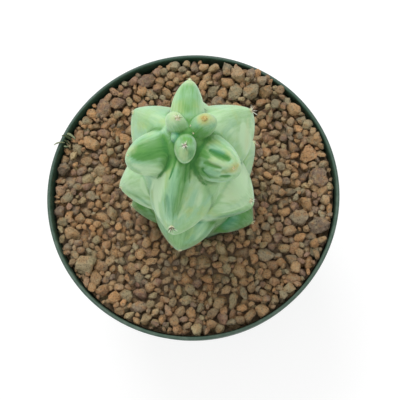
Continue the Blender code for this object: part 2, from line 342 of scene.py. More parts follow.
def pot_profile():
    """Radius and height of the wall, from the middle of the floor over the lip to the foot."""
    band_bottom = RIM_HEIGHT - BAND_HEIGHT
    channel_in = PAD_RADIUS + 2 * CHANNEL_RISE
    channel_out = BASE_RADIUS - FOOT_WIDTH - CHANNEL_RISE
    inner_floor = CHANNEL_RISE + WALL
    under_band = RIM_RADIUS - BAND_SLOPE - BAND_STEP
    lip_in = (RIM_RADIUS - WALL + LIP_ROUND, RIM_HEIGHT - LIP_ROUND)
    lip_out = (RIM_RADIUS - LIP_ROUND, RIM_HEIGHT - LIP_ROUND)
    band_edge = (RIM_RADIUS - BAND_SLOPE - LIP_ROUND, band_bottom + LIP_ROUND)
    return [(0.0, WALL), (PAD_RADIUS, WALL), (channel_in, inner_floor),
            (inner_radius(inner_floor), inner_floor),
            (inner_radius(band_bottom - BAND_STEP), band_bottom - BAND_STEP),
            (inner_radius(band_bottom + GAP), band_bottom + GAP),
            *arc(lip_in, LIP_ROUND, 180, 90), *arc(lip_out, LIP_ROUND, 90, 0),
            *arc(band_edge, LIP_ROUND, 0, -90), (under_band + 0.5 * LIP_ROUND, band_bottom),
            (under_band, band_bottom - 0.5 * LIP_ROUND),
            *arc((BASE_RADIUS - FOOT_ROUND, FOOT_ROUND), FOOT_ROUND, 0, -90),
            (channel_out + CHANNEL_RISE, 0.0), (channel_out, CHANNEL_RISE),
            (channel_in, CHANNEL_RISE), (PAD_RADIUS, 0.0), (0.0, 0.0)]


def turned(name, profile, steps):
    """Turn a profile, given down its outer side, about the upright axis."""
    mesh = bpy.data.meshes.new(name)
    edges = [(i, i + 1) for i in range(len(profile) - 1)]
    mesh.from_pydata([(radius, 0.0, height) for radius, height in profile], edges, [])
    item = new_object(name, mesh)
    screw = item.modifiers.new("Turn", "SCREW")
    screw.steps = steps
    screw.render_steps = steps
    screw.use_merge_vertices = True
    screw.merge_threshold = 0.00001
    return item


def drain_drill():
    """The round bars that cut the drain holes through the raised channel."""
    drill = bmesh.new()
    middle = (PAD_RADIUS + CHANNEL_RISE + BASE_RADIUS - FOOT_WIDTH) / 2
    for number in range(DRAIN_COUNT):
        turn = Matrix.Rotation(math.tau * (number + 0.5) / DRAIN_COUNT, 4, "Z")
        bmesh.ops.create_cone(drill, cap_ends=True, segments=40, radius1=DRAIN_RADIUS,
                              radius2=DRAIN_RADIUS, depth=DRILL_LENGTH,
                              matrix=turn @ Matrix.Translation((middle, 0, 0)))
    return object_from_bmesh("drain_drill", drill)


pot = turned("nursery_pot", pot_profile(), POT_STEPS)
drill = drain_drill()
cut = pot.modifiers.new("Drain", "BOOLEAN")
cut.operation = "DIFFERENCE"
cut.object = drill
apply_modifiers(pot)
drop(drill)
pot.data.shade_smooth()
pot.data.set_sharp_from_angle(angle=SHARP_ANGLE)

# %% [markdown]
# ## Pot plastic
#
# Dark green polypropylene: a soft semi-matt gloss, a faint orange-peel texture from the
# mould, flow streaks round the wall from noise that is squeezed in height, and a pale
# grey-green along the rim. That grey is partly dust and dried water, and partly a painted
# highlight: the grey sheen the lip shows under the room's light. It is fine noise that
# fades down the wall, and it is stronger on the near side, which is painted light that
# keeps the far side of the rim darker.

# %% Pot material


def pot_plastic():
    material, tree, shader = new_material("pot plastic", 0.38)
    point = place_in(tree)
    cloud = grain(tree, point, 14 * MM, 4)
    streaks = grain(tree, stretched(tree, point, (1, 1, 14)), 30 * MM, 3)
    green = mixed(tree, cloud, (0.009, 0.040, 0.023, 1), (0.018, 0.068, 0.040, 1))
    _, aside, height = add(tree, "SeparateXYZ", {"Vector": point}).outputs
    # Pale dust along the rim, partly a painted highlight on the lip; stronger on the near side as
    # painted light, so that the far side stays darker.
    rim_dust_and_highlight = sharpen(tree, height, RIM_HEIGHT - 9 * MM, RIM_HEIGHT + 1 * MM)
    near_side = sharpen(tree, aside, 45 * MM, -30 * MM, 0.15, 0.55)
    dusty = sharpen(tree, grain(tree, point, 3.5 * MM, 6, 0.7), 0.40, 0.70, 0.3, 1.0)
    dust = sums(tree, "MULTIPLY", sums(tree, "MULTIPLY", rim_dust_and_highlight, dusty), near_side)
    colour = mixed(tree, dust, green, (0.16, 0.21, 0.17, 1))
    matt = sharpen(tree, sums(tree, "ADD", streaks, dust), 0.3, 0.9, 0.32, 0.62)
    peel = bump(tree, grain(tree, point, 0.7 * MM, 2), 0.00002)
    plug(tree, shader, {"Base Color": colour, "Roughness": matt,
                        "Normal": bump(tree, streaks, 0.00012, peel)})
    return material


finish_piece(pot, pot_plastic(), "pot")

# %% [markdown]
# ## Potting mix
#
# Under the stones the pot is filled with peat and grit. Only its underside shows,
# through the drain holes, so the solid keeps its shape and gets a crumbly dark finish.

# %% Potting mix material


def potting_soil(name, dark, light):
    material, tree, shader = new_material(name, 0.95)
    point = place_in(tree)
    crumbs = grain(tree, point, 1.6 * MM, 6, 0.7)
    flecks = sharpen(tree, grain(tree, point, 0.8 * MM, 2), 0.62, 0.7)
    soil = mixed(tree, crumbs, dark, light)
    colour = mixed(tree, flecks, soil, (0.24, 0.19, 0.13, 1))
    plug(tree, shader, {"Base Color": colour, "Normal": bump(tree, crumbs, 0.0012)})
    return material


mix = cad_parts["potting_mix"]
mix.data.materials.clear()
mix.data.materials.append(potting_soil("peat", (0.012, 0.008, 0.005, 1), (0.06, 0.036, 0.022, 1)))

# %% [markdown]
# ## Where the stones lie
#
# The top dressing is volcanic grit, 2 to 8 mm across, poured in a crowded bed.
# A real pour leaves stones resting on each other at all heights, and a pattern of
# stones side by side would look like paving. A full physics run would be slow, so
# each stone is a ball that tries some random places and takes the one where it comes
# to rest lowest. Stones aren't balls and nest closer, so the balls may sink into each
# other a little. The pour stops near the solid's level. It is a little higher along the
# wall, most of all on the near side, and in one place it is heaped up to the rim, where
# a few stones even lie on the lip.

# %% Stone layout
BED_TOP = 83.4 * MM
BED_BOTTOM = RIM_HEIGHT - BAND_HEIGHT + 2 * GAP
STEM_X = 1.5 * MM
STEM_Y = 0.5 * MM
STEM_RADIUS = 16.5 * MM
POUR_SEED = 11
POUR_TRIES = 60
COARSE = (3.6 * MM, 3.0 * MM, 2.6 * MM, 2.3 * MM, 2.1 * MM, 2.0 * MM, 1.8 * MM, 1.7 * MM)
COARSE_COUNT = 1500
COARSE_TOP = BED_TOP + 0.9 * MM
SMALL = (1.5 * MM, 1.3 * MM, 1.1 * MM, 0.9 * MM)
SMALL_COUNT = 650
SMALL_TOP = BED_TOP + 1.3 * MM
NESTING = 0.80
FLOOR_NESTING = 0.3
WALL_NESTING = 0.75
FINES_TOP = 81.8 * MM
POUR_FLOOR = 80.2 * MM
SLOPE = (0.010, 0.020)
WALL_RISE = 1.6 * MM
WALL_REACH = (36 * MM, 50 * MM)
HEAP_PLACE = (24 * MM, 45 * MM)
HEAP_HEIGHT = 3.6 * MM
HEAP_SIZE = 13 * MM
NEAR_RISE = 1.5 * MM
NEAR_REACH = (5 * MM, 38 * MM)
RIM_STONES = ((19.0, 45.3, 87.2, 2.0), (23.7, 44.3, 88.0, 2.0), (27.6, 42.6, 88.0, 1.6),
              (32.0, 38.2, 87.9, 2.1), (45.2, 20.6, 86.9, 2.1))


def rise(spots):
    """How much higher than its middle the bed is at each place."""
    near_wall = smooth_step(np.linalg.norm(spots, axis=1), *WALL_REACH)
    near_side = smooth_step(-spots[:, 1], *NEAR_REACH)
    from_heap = np.linalg.norm(spots - HEAP_PLACE, axis=1) / HEAP_SIZE
    wall = (WALL_RISE + NEAR_RISE * near_side) * near_wall
    return spots @ SLOPE + wall + HEAP_HEIGHT * np.exp(-from_heap ** 2)


def random_spots(rng, radius, count):
    """Places on the bed for a ball, clear of the pot's wall and of the stem."""
    outer = inner_radius(BED_TOP) - GAP - WALL_NESTING * radius
    distance = outer * np.sqrt(rng.random(count))
    angle = math.tau * rng.random(count)
    spots = np.stack((distance * np.cos(angle), distance * np.sin(angle)), 1)
    from_stem = np.linalg.norm(spots - (STEM_X, STEM_Y), axis=1)
    return spots[from_stem > STEM_RADIUS + GAP + radius]


def resting_heights(spots, radius, settled):
    """How high a ball comes to rest at each place, on the bed's floor or on other balls."""
    away = np.linalg.norm(spots[:, None] - settled[None, :, :2], axis=2)
    reach = (settled[:, 3] + radius) * NESTING
    on_ball = settled[:, 2] + np.sqrt(np.maximum(reach ** 2 - away ** 2, 0))
    return np.where(away < reach, on_ball, POUR_FLOOR + FLOOR_NESTING * radius).max(1)


def pour(rng, settled, radii, count, highest):
    """Drop balls one by one, each in the lowest of some random places."""
    for _ in range(count):
        radius = rng.choice(radii)
        spots = random_spots(rng, radius, POUR_TRIES)
        heights = resting_heights(spots, radius, settled)
        lowest = (heights - rise(spots)).argmin()
        if heights[lowest] < highest + rise(spots[lowest:lowest + 1])[0]:
            settled = np.vstack((settled, (*spots[lowest], heights[lowest], radius)))
    return settled


rng = np.random.default_rng(POUR_SEED)
far_away = np.array([[1.0, 1.0, 0.0, MM]])
coarse = pour(rng, far_away, COARSE, COARSE_COUNT, COARSE_TOP)
small = pour(rng, coarse, SMALL, SMALL_COUNT, SMALL_TOP)[len(coarse):]
coarse = np.vstack((coarse[1:], np.array(RIM_STONES) * MM))
print("stones:", len(coarse), "coarse and", len(small), "small")

# %% [markdown]
# ## Making a stone
#
# Crushed lava and baked clay break along flat faces, and the edges wear round. A ball
# whose corners are pushed back to eleven random planes has just those flats, and a
# soft limit in place of a hard one gives the worn edges. A few slow waves and some
# quicker ones then make the flats uneven. All of it is arithmetic on one array of
# points, so hundreds of stones take a second.

# %% Stones
STONE_PLANES = 11
STONE_PLANE_DEPTH = (0.56, 0.88)
STONE_WEAR = 0.06
STONE_WAVES = ((7, 3, 11, 0.025), (8, 9, 20, 0.018))
STONE_SIZES = ((1.0, 0.78, 0.68), (1.45, 1.0, 0.9))
STONE_LEAN = 0.5
STONE_CROWDING = 1.12
STONE_SEED = 21


def unit_ball(subdivisions):
    shape = bmesh.new()
    bmesh.ops.create_icosphere(shape, subdivisions=subdivisions, radius=1.0)
    points = np.array([corner.co[:] for corner in shape.verts])
    faces = np.array([[corner.index for corner in face.verts] for face in shape.faces])
    shape.free()
    return points, faces


def random_directions(rng, count):
    directions = rng.normal(size=(count, 3))
    return directions / np.linalg.norm(directions, axis=1)[:, None]


def stone_points(ball, rng):
    """A ball of radius 1 with worn flat faces, uneven, and longer one way than another."""
    points = ball.copy()
    for direction in random_directions(rng, STONE_PLANES):
        past = (points @ direction - rng.uniform(*STONE_PLANE_DEPTH)) / STONE_WEAR
        points -= np.outer(np.logaddexp(0, past) * STONE_WEAR, direction)
    for count, slow, quick, height in STONE_WAVES:
        for direction in random_directions(rng, count):
            wave = np.sin(points @ direction * rng.uniform(slow, quick) + rng.uniform(0, 6))
            points += points * height * wave[:, None]
    points *= rng.uniform(*STONE_SIZES)
    return points / np.abs(points[:, :2]).max()


def random_turn(rng):
    """Turn freely about the upright axis, and lean over by a random angle."""
    about = Matrix.Rotation(rng.uniform(0, math.tau), 3, "Z")
    over = Matrix.Rotation(rng.normal() * STONE_LEAN, 3, "X")
    return np.array(Matrix.Rotation(rng.uniform(0, math.tau), 3, "Z") @ over @ about)


def inside_wall(points):
    """Points that would reach into the pot's wall, moved back to its inner face."""
    reach = np.linalg.norm(points[:, :2], axis=1)
    inside = inner_radius(BED_TOP) - 0.2 * MM
    share = np.where(points[:, 2] < RIM_HEIGHT - 0.5 * MM, np.minimum(inside / reach, 1.0), 1.0)
    points[:, :2] *= share[:, None]
    return points


def make_stones(name, places, subdivisions, seed):
    """Join stones in one mesh, each with a tone of its own for the material."""
    rng = np.random.default_rng(seed)
    ball, faces = unit_ball(subdivisions)
    points, tones, lightness = [], [], []
    for *place, radius in places:
        stone = stone_points(ball, rng) @ random_turn(rng).T
        points.append(inside_wall(stone * radius * STONE_CROWDING + place))
        tones.append(np.full(len(ball), rng.uniform()))
        lightness.append(np.full(len(ball), rng.uniform()))
    all_faces = np.concatenate([faces + i * len(ball) for i in range(len(places))])
    item = object_from_arrays(name, np.concatenate(points), all_faces)
    item.data.shade_smooth()
    paint(item, "tone", np.concatenate(tones))
    paint(item, "lightness", np.concatenate(lightness))
    return item


SEEN_DEPTH = 0.8 * MM
SMALL_SEEN_DEPTH = 0.6 * MM
LARGE_RADIUS = 2.6 * MM

seen = coarse[:, 2] > BED_TOP - SEEN_DEPTH
large = seen & (coarse[:, 3] > LARGE_RADIUS)
deep = small[:, 2] < BED_TOP - SMALL_SEEN_DEPTH
stone_sets = (("gravel_large", coarse[large], 4), ("gravel_medium", coarse[seen & ~large], 3),
              ("gravel_deep", coarse[~seen], 2), ("gravel_small", small[~deep], 3),
              ("gravel_specks", small[deep], 2))
gravel = [make_stones(name, places, subdivisions, STONE_SEED + number)
          for number, (name, places, subdivisions) in enumerate(stone_sets)]

# %% [markdown]
# ## The bed under the stones
#
# Between the lowest stones lies fine brown grit. It is a ring-shaped slab with an
# uneven top, there only so that no gap between stones looks through to the potting mix.

# %% Bed of fines
FINES_STEPS = 96
FINES_RINGS = 12
FINES_ROUGHNESS = 0.5 * MM


def make_fines():
    rings = np.linspace(STEM_RADIUS + GAP, inner_radius(FINES_TOP) - GAP, FINES_RINGS)
    shape = bmesh.new()
    loops = []
    heights = [(rings[0], BED_BOTTOM)] + [(radius, FINES_TOP) for radius in rings]
    heights.append((rings[-1], BED_BOTTOM))
    for radius, height in heights:
        share = (radius - rings[0]) / (rings[-1] - rings[0])
        loop = []
        for step in range(FINES_STEPS):
            angle = math.tau * step / FINES_STEPS
            x = STEM_X * (1 - share) + radius * math.cos(angle)
            y = STEM_Y * (1 - share) + radius * math.sin(angle)
            rough = noise.noise(Vector((x, y, 0)) / (4 * MM)) * FINES_ROUGHNESS
            loop.append(shape.verts.new((x, y, height + (rough if height == FINES_TOP else 0))))
        loops.append(loop)
    for lower, upper in zip(loops, loops[1:] + loops[:1]):
        for step in range(FINES_STEPS):
            following = (step + 1) % FINES_STEPS
            shape.faces.new((lower[step], lower[following], upper[following], upper[step]))
    bmesh.ops.recalc_face_normals(shape, faces=shape.faces)
    return object_from_bmesh("gravel_fines", shape)


fines = make_fines()
fines.data.shade_smooth()
fines.data.set_sharp_from_angle(angle=math.radians(40))

# %% [markdown]
# ## Stone colours
#
# The grit is a mix: tan and orange-brown baked clay, reddish-brown lava, and some
# grey-beige and dark brown stones. Each stone reads its own tone from the mesh, and a
# ramp turns it into one of those colours, which a second number makes lighter or darker.
# Baked patches, pale and dark dust, and pores come from noise at their real size.

# %% Stone material
STONE_COLOURS = (
    (0.00, (0.320, 0.215, 0.115, 1)),
    (0.18, (0.390, 0.240, 0.115, 1)),
    (0.32, (0.440, 0.235, 0.100, 1)),
    (0.46, (0.330, 0.200, 0.120, 1)),
    (0.60, (0.400, 0.310, 0.160, 1)),
    (0.74, (0.290, 0.245, 0.150, 1)),
    (0.88, (0.190, 0.135, 0.095, 1)),
    (1.00, (0.310, 0.175, 0.115, 1)),
)
BAKED_ORANGE = (0.45, 0.235, 0.09, 1)
PALE_DUST = (0.41, 0.33, 0.20, 1)
DARK_DUST = (0.17, 0.12, 0.08, 1)
PORE_BROWN = (0.055, 0.034, 0.024, 1)


def stone_finish():
    material, tree, shader = new_material("volcanic grit", 0.85)
    point = place_in(tree)
    own = ramp(tree, attribute(tree, "tone"), STONE_COLOURS)
    lightness = sharpen(tree, attribute(tree, "lightness"), 0, 1, 0.86, 1.34)
    own = add(tree, "HueSaturation", {"Value": lightness, "Color": own}).outputs["Color"]
    mottle = grain(tree, point, 3.0 * MM, 5, 0.65)
    baked = mixed(tree, sharpen(tree, mottle, 0.46, 0.62, 0.0, 0.6), own, BAKED_ORANGE)
    dust = grain(tree, point, 1.8 * MM, 5, 0.7)
    dusty = mixed(tree, sharpen(tree, dust, 0.48, 0.62, 0.0, 0.55), baked, PALE_DUST)
    dusty = mixed(tree, sharpen(tree, dust, 0.46, 0.30, 0.0, 0.45), dusty, DARK_DUST)
    pores = grain(tree, point, 0.55 * MM, 3, 0.6)
    pitted = sharpen(tree, pores, 0.32, 0.48, 0.7, 0.0)
    colour = mixed(tree, pitted, dusty, PORE_BROWN)
    rough = bump(tree, grain(tree, point, 1.5 * MM, 5, 0.65), 0.0012)
    plug(tree, shader, {"Base Color": colour, "Normal": bump(tree, pores, 0.0004, rough)})
    return material


grit = stone_finish()
for stones in gravel:
    finish_piece(stones, grit, "gravel")
finish_piece(fines, potting_soil("fine grit", (0.12, 0.08, 0.045, 1), (0.28, 0.19, 0.11, 1)),
             "gravel")

# %% [markdown]
# ## Dry strands
#
# A few bits of dead root hang over the rim at one side. Each is a thin bent tube, built
# as rings round a curve through three places. Three are pale, and two are a dark green
# that is painted shade: the same dead root, coloured as it looks in the shade of the wall.
# They are the only thing that reaches past the rim.

# %% Dry strands
PALE_STRANDS = (
    ((-50.8, 18.2, 88.4), (-49.0, 19.0, 88.9), (-47.0, 19.5, 87.2), 0.30),
    ((-46.6, 22.8, 87.2), (-45.0, 22.4, 87.6), (-43.2, 20.9, 86.7), 0.50),
    ((-47.4, 18.4, 86.8), (-46.6, 18.0, 87.1), (-45.8, 18.2, 86.4), 0.34),
)
# strands coloured as in the shade of the wall: painted shade
SHADED_STRANDS = (
    ((-48.2, 22.0, 87.4), (-46.4, 21.8, 87.6), (-44.4, 20.4, 86.4), 0.50),
    ((-48.6, 20.6, 87.0), (-46.8, 20.2, 87.3), (-45.4, 18.9, 86.4), 0.35),
)
STRAND_STEPS = 14
STRAND_SIDES = 8


def strand(shape, start, middle, end, thick):
    """A thin tube along a curve through three places, thinner towards both ends."""
    start, middle, end = (Vector(place) * MM for place in (start, middle, end))
    pull = 2 * middle - (start + end) / 2
    rings = []
    for step in range(STRAND_STEPS + 1):
        share = step / STRAND_STEPS
        spot = start * (1 - share) ** 2 + pull * 2 * share * (1 - share) + end * share ** 2
        along = (pull - start) * (1 - share) + (end - pull) * share
        frame_at = along.to_track_quat("Z", "Y").to_matrix()
        reach = thick * MM * math.sqrt(math.sin(math.pi * (0.03 + 0.94 * share)))
        reach *= 1 + 0.3 * noise.noise(spot / MM)
        angles = [math.tau * side / STRAND_SIDES for side in range(STRAND_SIDES)]
        rings.append([shape.verts.new(spot + frame_at @ Vector((math.cos(a), math.sin(a), 0)) * reach)
                      for a in angles])
    for lower, upper in zip(rings, rings[1:]):
        for side in range(STRAND_SIDES):
            following = (side + 1) % STRAND_SIDES
            shape.faces.new((lower[side], lower[following], upper[following], upper[side]))
    shape.faces.new(rings[0][::-1])
    shape.faces.new(rings[-1])


def make_strands(name, places):
    shape = bmesh.new()
    for place in places:
        strand(shape, *place)
    item = object_from_bmesh(name, shape)
    item.data.shade_smooth()
    return item


def plain_finish(name, first, second, size, roughness, relief):
    """Two colours mixed by noise, with bump of the same marks."""
    material, tree, shader = new_material(name, roughness)
    marks = sharpen(tree, grain(tree, place_in(tree), size, 4), 0.3, 0.7)
    plug(tree, shader, {"Base Color": mixed(tree, marks, first, second),
                        "Normal": bump(tree, marks, relief)})
    return material


pale_strand = plain_finish("pale strand", (0.15, 0.18, 0.09, 1), (0.30, 0.33, 0.19, 1),
                           1.2 * MM, 0.9, 0.0002)
# a shaded copy of the pale strand: painted shade
shaded_strand = plain_finish("shaded strand", (0.02, 0.035, 0.01, 1), (0.07, 0.09, 0.035, 1),
                           1.2 * MM, 0.9, 0.0002)
finish_piece(make_strands("strands_pale", PALE_STRANDS), pale_strand, "gravel")
finish_piece(make_strands("strands_shaded", SHADED_STRANDS), shaded_strand, "gravel")

# %% [markdown]
# ## The shape of a tubercle
#
# The stem carries six ribs, and each rib is broken into big swollen tubercles. Three sit
# at one height, the next three turn by half a step, and so on to the crown. A tubercle
# is a ball that is drawn out to a blunt tip, so one formula makes all of them, from
# nearly the same sizes as the solid: a few are up to a millimetre narrower to each side
# or turned by up to three degrees, to follow the picture. Sculpting each by hand would
# lose that regular growth.

# %% Tubercle formula
RIBS = (30, 85, 143, 195, 260, 328)
Whorl = namedtuple("Whorl", "first_rib tip reach tilt long wide above below side_power turn")
WHORLS = (
    Whorl(1, 3.0, 23.6, 3, 11.5, 10.5, 13.0, 3.4, 1.5, 0),
    Whorl(0, 18.0, 24.2, 6, 12.0, 11.0, 14.0, 13.0, 1.5, 0),
    Whorl(1, 33.0, 23.4, 10, 12.0, 11.0, 15.0, 13.0, 1.5, 0),
    Whorl(0, 48.5, 24.2, 30, 13.0, 10.5, 24.0, 12.0, 1.5, 0),
    Whorl(1, 61.0, 17.4, 15, 11.3, 6.4, 6.5, 10.0, 2.0, 0),
    Whorl(0, 71.0, 5.4, 62, 5.2, 3.1, 3.4, 4.4, 2.4, 0),
)
ODD_TUBERCLES = {
    (0, 328): {"reach": 0.3},
    (1, 260): {"reach": 1.0, "wide": -0.5, "turn": -1.8},
    (3, 30): {"reach": -0.8, "turn": 6},
    (3, 143): {"reach": -2.7, "turn": -4.8},
    (3, 260): {"wide": -1.0, "below": -3.0, "side_power": -0.1, "turn": -0.3},
    (4, 85): {"reach": -0.1, "tip": 2.4, "wide": -1.2, "turn": 1.8},
    (4, 195): {"reach": 0.8, "above": -0.7, "turn": 3.5},
    (4, 328): {"reach": 1.0, "turn": 1},
    (5, 30): {"reach": 1.2, "above": -0.4, "below": 0.5, "turn": -11},
    (5, 143): {"long": -0.6, "wide": -0.6, "above": -0.6, "below": -0.6},
    (5, 260): {"reach": 1.2, "below": 0.45, "turn": 7.4},
}
UP_POWER = 2.2
LEAN = Vector((1.7, 1.4, 0.0)) * MM
LEAN_FROM = 50.0 * MM
LEAN_HEIGHT = 20.0 * MM


def taper(out, power):
    """How wide a tubercle is along it, beside a ball: 1 in the middle, 0 at the tip."""
    inside = np.clip(out, 0, 0.9999)
    narrow = (1 - inside ** power) ** (1.25 / power) / np.sqrt(1 - inside * inside)
    return np.where((out <= 0) | (out >= 1), 1.0, narrow)


def lean(points, way=1):
    """Shift points with the crown's lean, which grows from nothing up the stem, or back."""
    up = np.maximum(points[:, 2] - RIM_HEIGHT - LEAN_FROM, 0) / LEAN_HEIGHT
    return points + way * np.outer(up * up, LEAN)


def tubercle_points(whorl, rib, ball):
    """Where the points of a unit ball go: out from the axis, aside and up."""
    tilt = math.radians(whorl.tilt)
    angle = math.radians(rib + whorl.turn)
    out, side, up = ball.T
    along = (out - 1) * whorl.long
    across = up * taper(out, UP_POWER) * np.where(up > 0, whorl.above, whorl.below)
    reach = whorl.reach + along * math.cos(tilt) - across * math.sin(tilt)
    aside = side * taper(out, whorl.side_power) * whorl.wide
    height = whorl.tip + along * math.sin(tilt) + across * math.cos(tilt)
    turned_x = reach * math.cos(angle) - aside * math.sin(angle)
    turned_y = reach * math.sin(angle) + aside * math.cos(angle)
    points = np.stack((turned_x, turned_y, height), 1) * MM
    return lean(points + (STEM_X, STEM_Y, RIM_HEIGHT))


def all_tubercles():
    """Every tubercle's whorl number, rib and own sizes."""
    for number, whorl in enumerate(WHORLS):
        for rib in RIBS[whorl.first_rib::2]:
            odd = ODD_TUBERCLES.get((number, rib), {})
            own = whorl._replace(**{size: getattr(whorl, size) + odd[size] for size in odd})
            yield number, rib, own


tubercles = list(all_tubercles())
print(len(tubercles), "tubercles")

# %% [markdown]
# ## One skin over all of them
#
# On the plant there are no seams: the tubercles swell out of one stem under one skin.
# So the fine balls and the stem are joined, and a voxel remesh wraps one even skin
# round the lot. It leaves tiny steps, which a few rounds of averaging with the
# neighbouring points take away, and the same rounds soften the creases. A small round
# bud, the next tubercle of the crown, is joined in as well.

# %% Skin
CORE = ((0.0, 67.5), (3.5, 66.6), (7.0, 63.0), (10.5, 57.0), (13.5, 50.0), (15.8, 41.0),
        (17.0, 30.0), (17.4, 14.0), (17.2, 2.0))
CORE_STEPS = 96
ROOT_END = 55.4
VOXEL = 0.45 * MM
BALL_SIDES = 110
BUD_PLACE = (-0.3 * MM, -0.1 * MM, 154.6 * MM)
BUD_RADIUS = 1.5 * MM


def fine_ball():
    shape = bmesh.new()
    lie_down = Matrix.Rotation(math.pi / 2, 4, "Y")
    bmesh.ops.create_uvsphere(shape, u_segments=BALL_SIDES, v_segments=BALL_SIDES * 2 // 3,
                              radius=1.0, matrix=lie_down)
    points = np.array([corner.co[:] for corner in shape.verts])
    mesh = bpy.data.meshes.new("ball")
    shape.to_mesh(mesh)
    shape.free()
    return points, mesh


def make_core():
    """The stem that carries the tubercles, and its root in the potting mix."""
    profile = [(radius * MM, RIM_HEIGHT + height * MM) for radius, height in CORE]
    bed = BED_TOP / MM
    below = ((16.5, bed + 3), (16.5, ROOT_END + 9), (11, ROOT_END + 3), (0, ROOT_END))
    profile += [(radius * MM, height * MM) for radius, height in below]
    core = turned("core", profile, CORE_STEPS)
    apply_modifiers(core)
    move_corners(core, lean(corners(core) + (STEM_X, STEM_Y, 0)))
    return core


def join(items):
    """Join meshes in the first one."""
    shape = bmesh.new()
    for item in items:
        shape.from_mesh(item.data)
    shape.to_mesh(items[0].data)
    shape.free()
    for item in items[1:]:
        drop(item)
    return items[0]


def wrap(item, size):
    remesh = item.modifiers.new("Skin", "REMESH")
    remesh.mode = "VOXEL"
    remesh.voxel_size = size
    apply_modifiers(item)


ball_points, ball_mesh = fine_ball()
shapes = [tubercle_points(whorl, rib, ball_points) for _, rib, whorl in tubercles]
shapes.append(ball_points * BUD_RADIUS + BUD_PLACE)
bodies = [make_core()]
for shape in shapes:
    bodies.append(new_object("swelling", ball_mesh.copy()))
    move_corners(bodies[-1], shape)
cactus = join(bodies)
cactus.name = "cactus_skin"
wrap(cactus, VOXEL)
skin = corners(cactus)
print("skin:", len(skin), "points")

# %% [markdown]
# ## Averaging with neighbours
#
# A point's neighbours are the ones that mesh edges join to it. Summing them with bincount
# handles the whole skin at once. The same step, repeated more often, also tells where the
# skin is hollow: there the average lies outside the surface, and on a ridge inside it.

# %% Smoothing


class Neighbours:
    """The edges of a mesh, ready to average a value over each point's neighbours."""

    def __init__(self, item):
        pairs = np.zeros(len(item.data.edges) * 2, np.int32)
        item.data.edges.foreach_get("vertices", pairs)
        self.first, self.second = pairs.reshape(-1, 2).T
        self.size = len(item.data.vertices)
        self.count = np.maximum(np.bincount(pairs, minlength=self.size), 1)

    def average(self, values):
        columns = []
        for column in values.reshape(self.size, -1).T:
            total = np.bincount(self.first, column[self.second], self.size)
            total += np.bincount(self.second, column[self.first], self.size)
            columns.append(total / self.count)
        return np.stack(columns, 1).reshape(values.shape)

    def relax(self, values, rounds):
        """Move each value half the way to its neighbours' average, round after round."""
        for _ in range(rounds):
            values = values + (self.average(values) - values) / 2
        return values


SMOOTHING_ROUNDS = 4

near = Neighbours(cactus)
skin = near.relax(skin, SMOOTHING_ROUNDS)
move_corners(cactus, skin)

# %% [markdown]
# ## Which tubercle a point belongs to
#
# To paint a tubercle's own marks, each point needs its place on it: how far out, how
# far to the side and how far up. That is the tubercle's formula run backwards. A point
# lies on the tubercle whose ball it is nearest to, and near a crease it shares the marks
# of two, so that nothing changes with a hard edge.

# %% Place on each tubercle


def place_on(whorl, rib, points):
    """Out, side and up of points on a tubercle, 1 long on its surface."""
    tilt = math.radians(whorl.tilt)
    angle = math.radians(rib + whorl.turn)
    flat = (lean(points, -1) - (STEM_X, STEM_Y, RIM_HEIGHT)) / MM
    reach = flat[:, 0] * math.cos(angle) + flat[:, 1] * math.sin(angle) - whorl.reach
    aside = flat[:, 1] * math.cos(angle) - flat[:, 0] * math.sin(angle)
    height = flat[:, 2] - whorl.tip
    out = 1 + (reach * math.cos(tilt) + height * math.sin(tilt)) / whorl.long
    across = height * math.cos(tilt) - reach * math.sin(tilt)
    side = aside / (whorl.wide * taper(out, whorl.side_power))
    up = across / (np.where(across > 0, whorl.above, whorl.below) * taper(out, UP_POWER))
    return np.stack((out, side, up), 1)


SHARE_WIDTH = 0.05
places = np.stack([place_on(whorl, rib, skin) for _, rib, whorl in tubercles])
away = np.abs(np.linalg.norm(places, axis=2) - 1)
shares = np.exp(-(away - away.min(0)) / SHARE_WIDTH)
shares /= shares.sum(0)
own_place = (shares[:, :, None] * places).sum(0)
print("points shared by two tubercles:", int((shares.max(0) < 0.8).sum()))

# %% [markdown]
# ## Uneven growth
#
# A grown thing is never quite even. Slow noise, a few tenths of a millimetre high and
# about a centimetre across, takes the machined look off the tubercles.

# %% Uneven growth
SWELL = 0.28 * MM
SWELL_SIZE = 9 * MM
SWELL_START = Vector((1.0, 2.7, 0.3))

swells = np.array([noise.noise(Vector(point) / SWELL_SIZE + SWELL_START) for point in skin])
skin += corners(cactus, "normal") * (swells * SWELL)[:, None]
move_corners(cactus, skin)
print("skin swells by", round(swells.min() * SWELL / MM, 2), "to",
      round(swells.max() * SWELL / MM, 2), "mm")
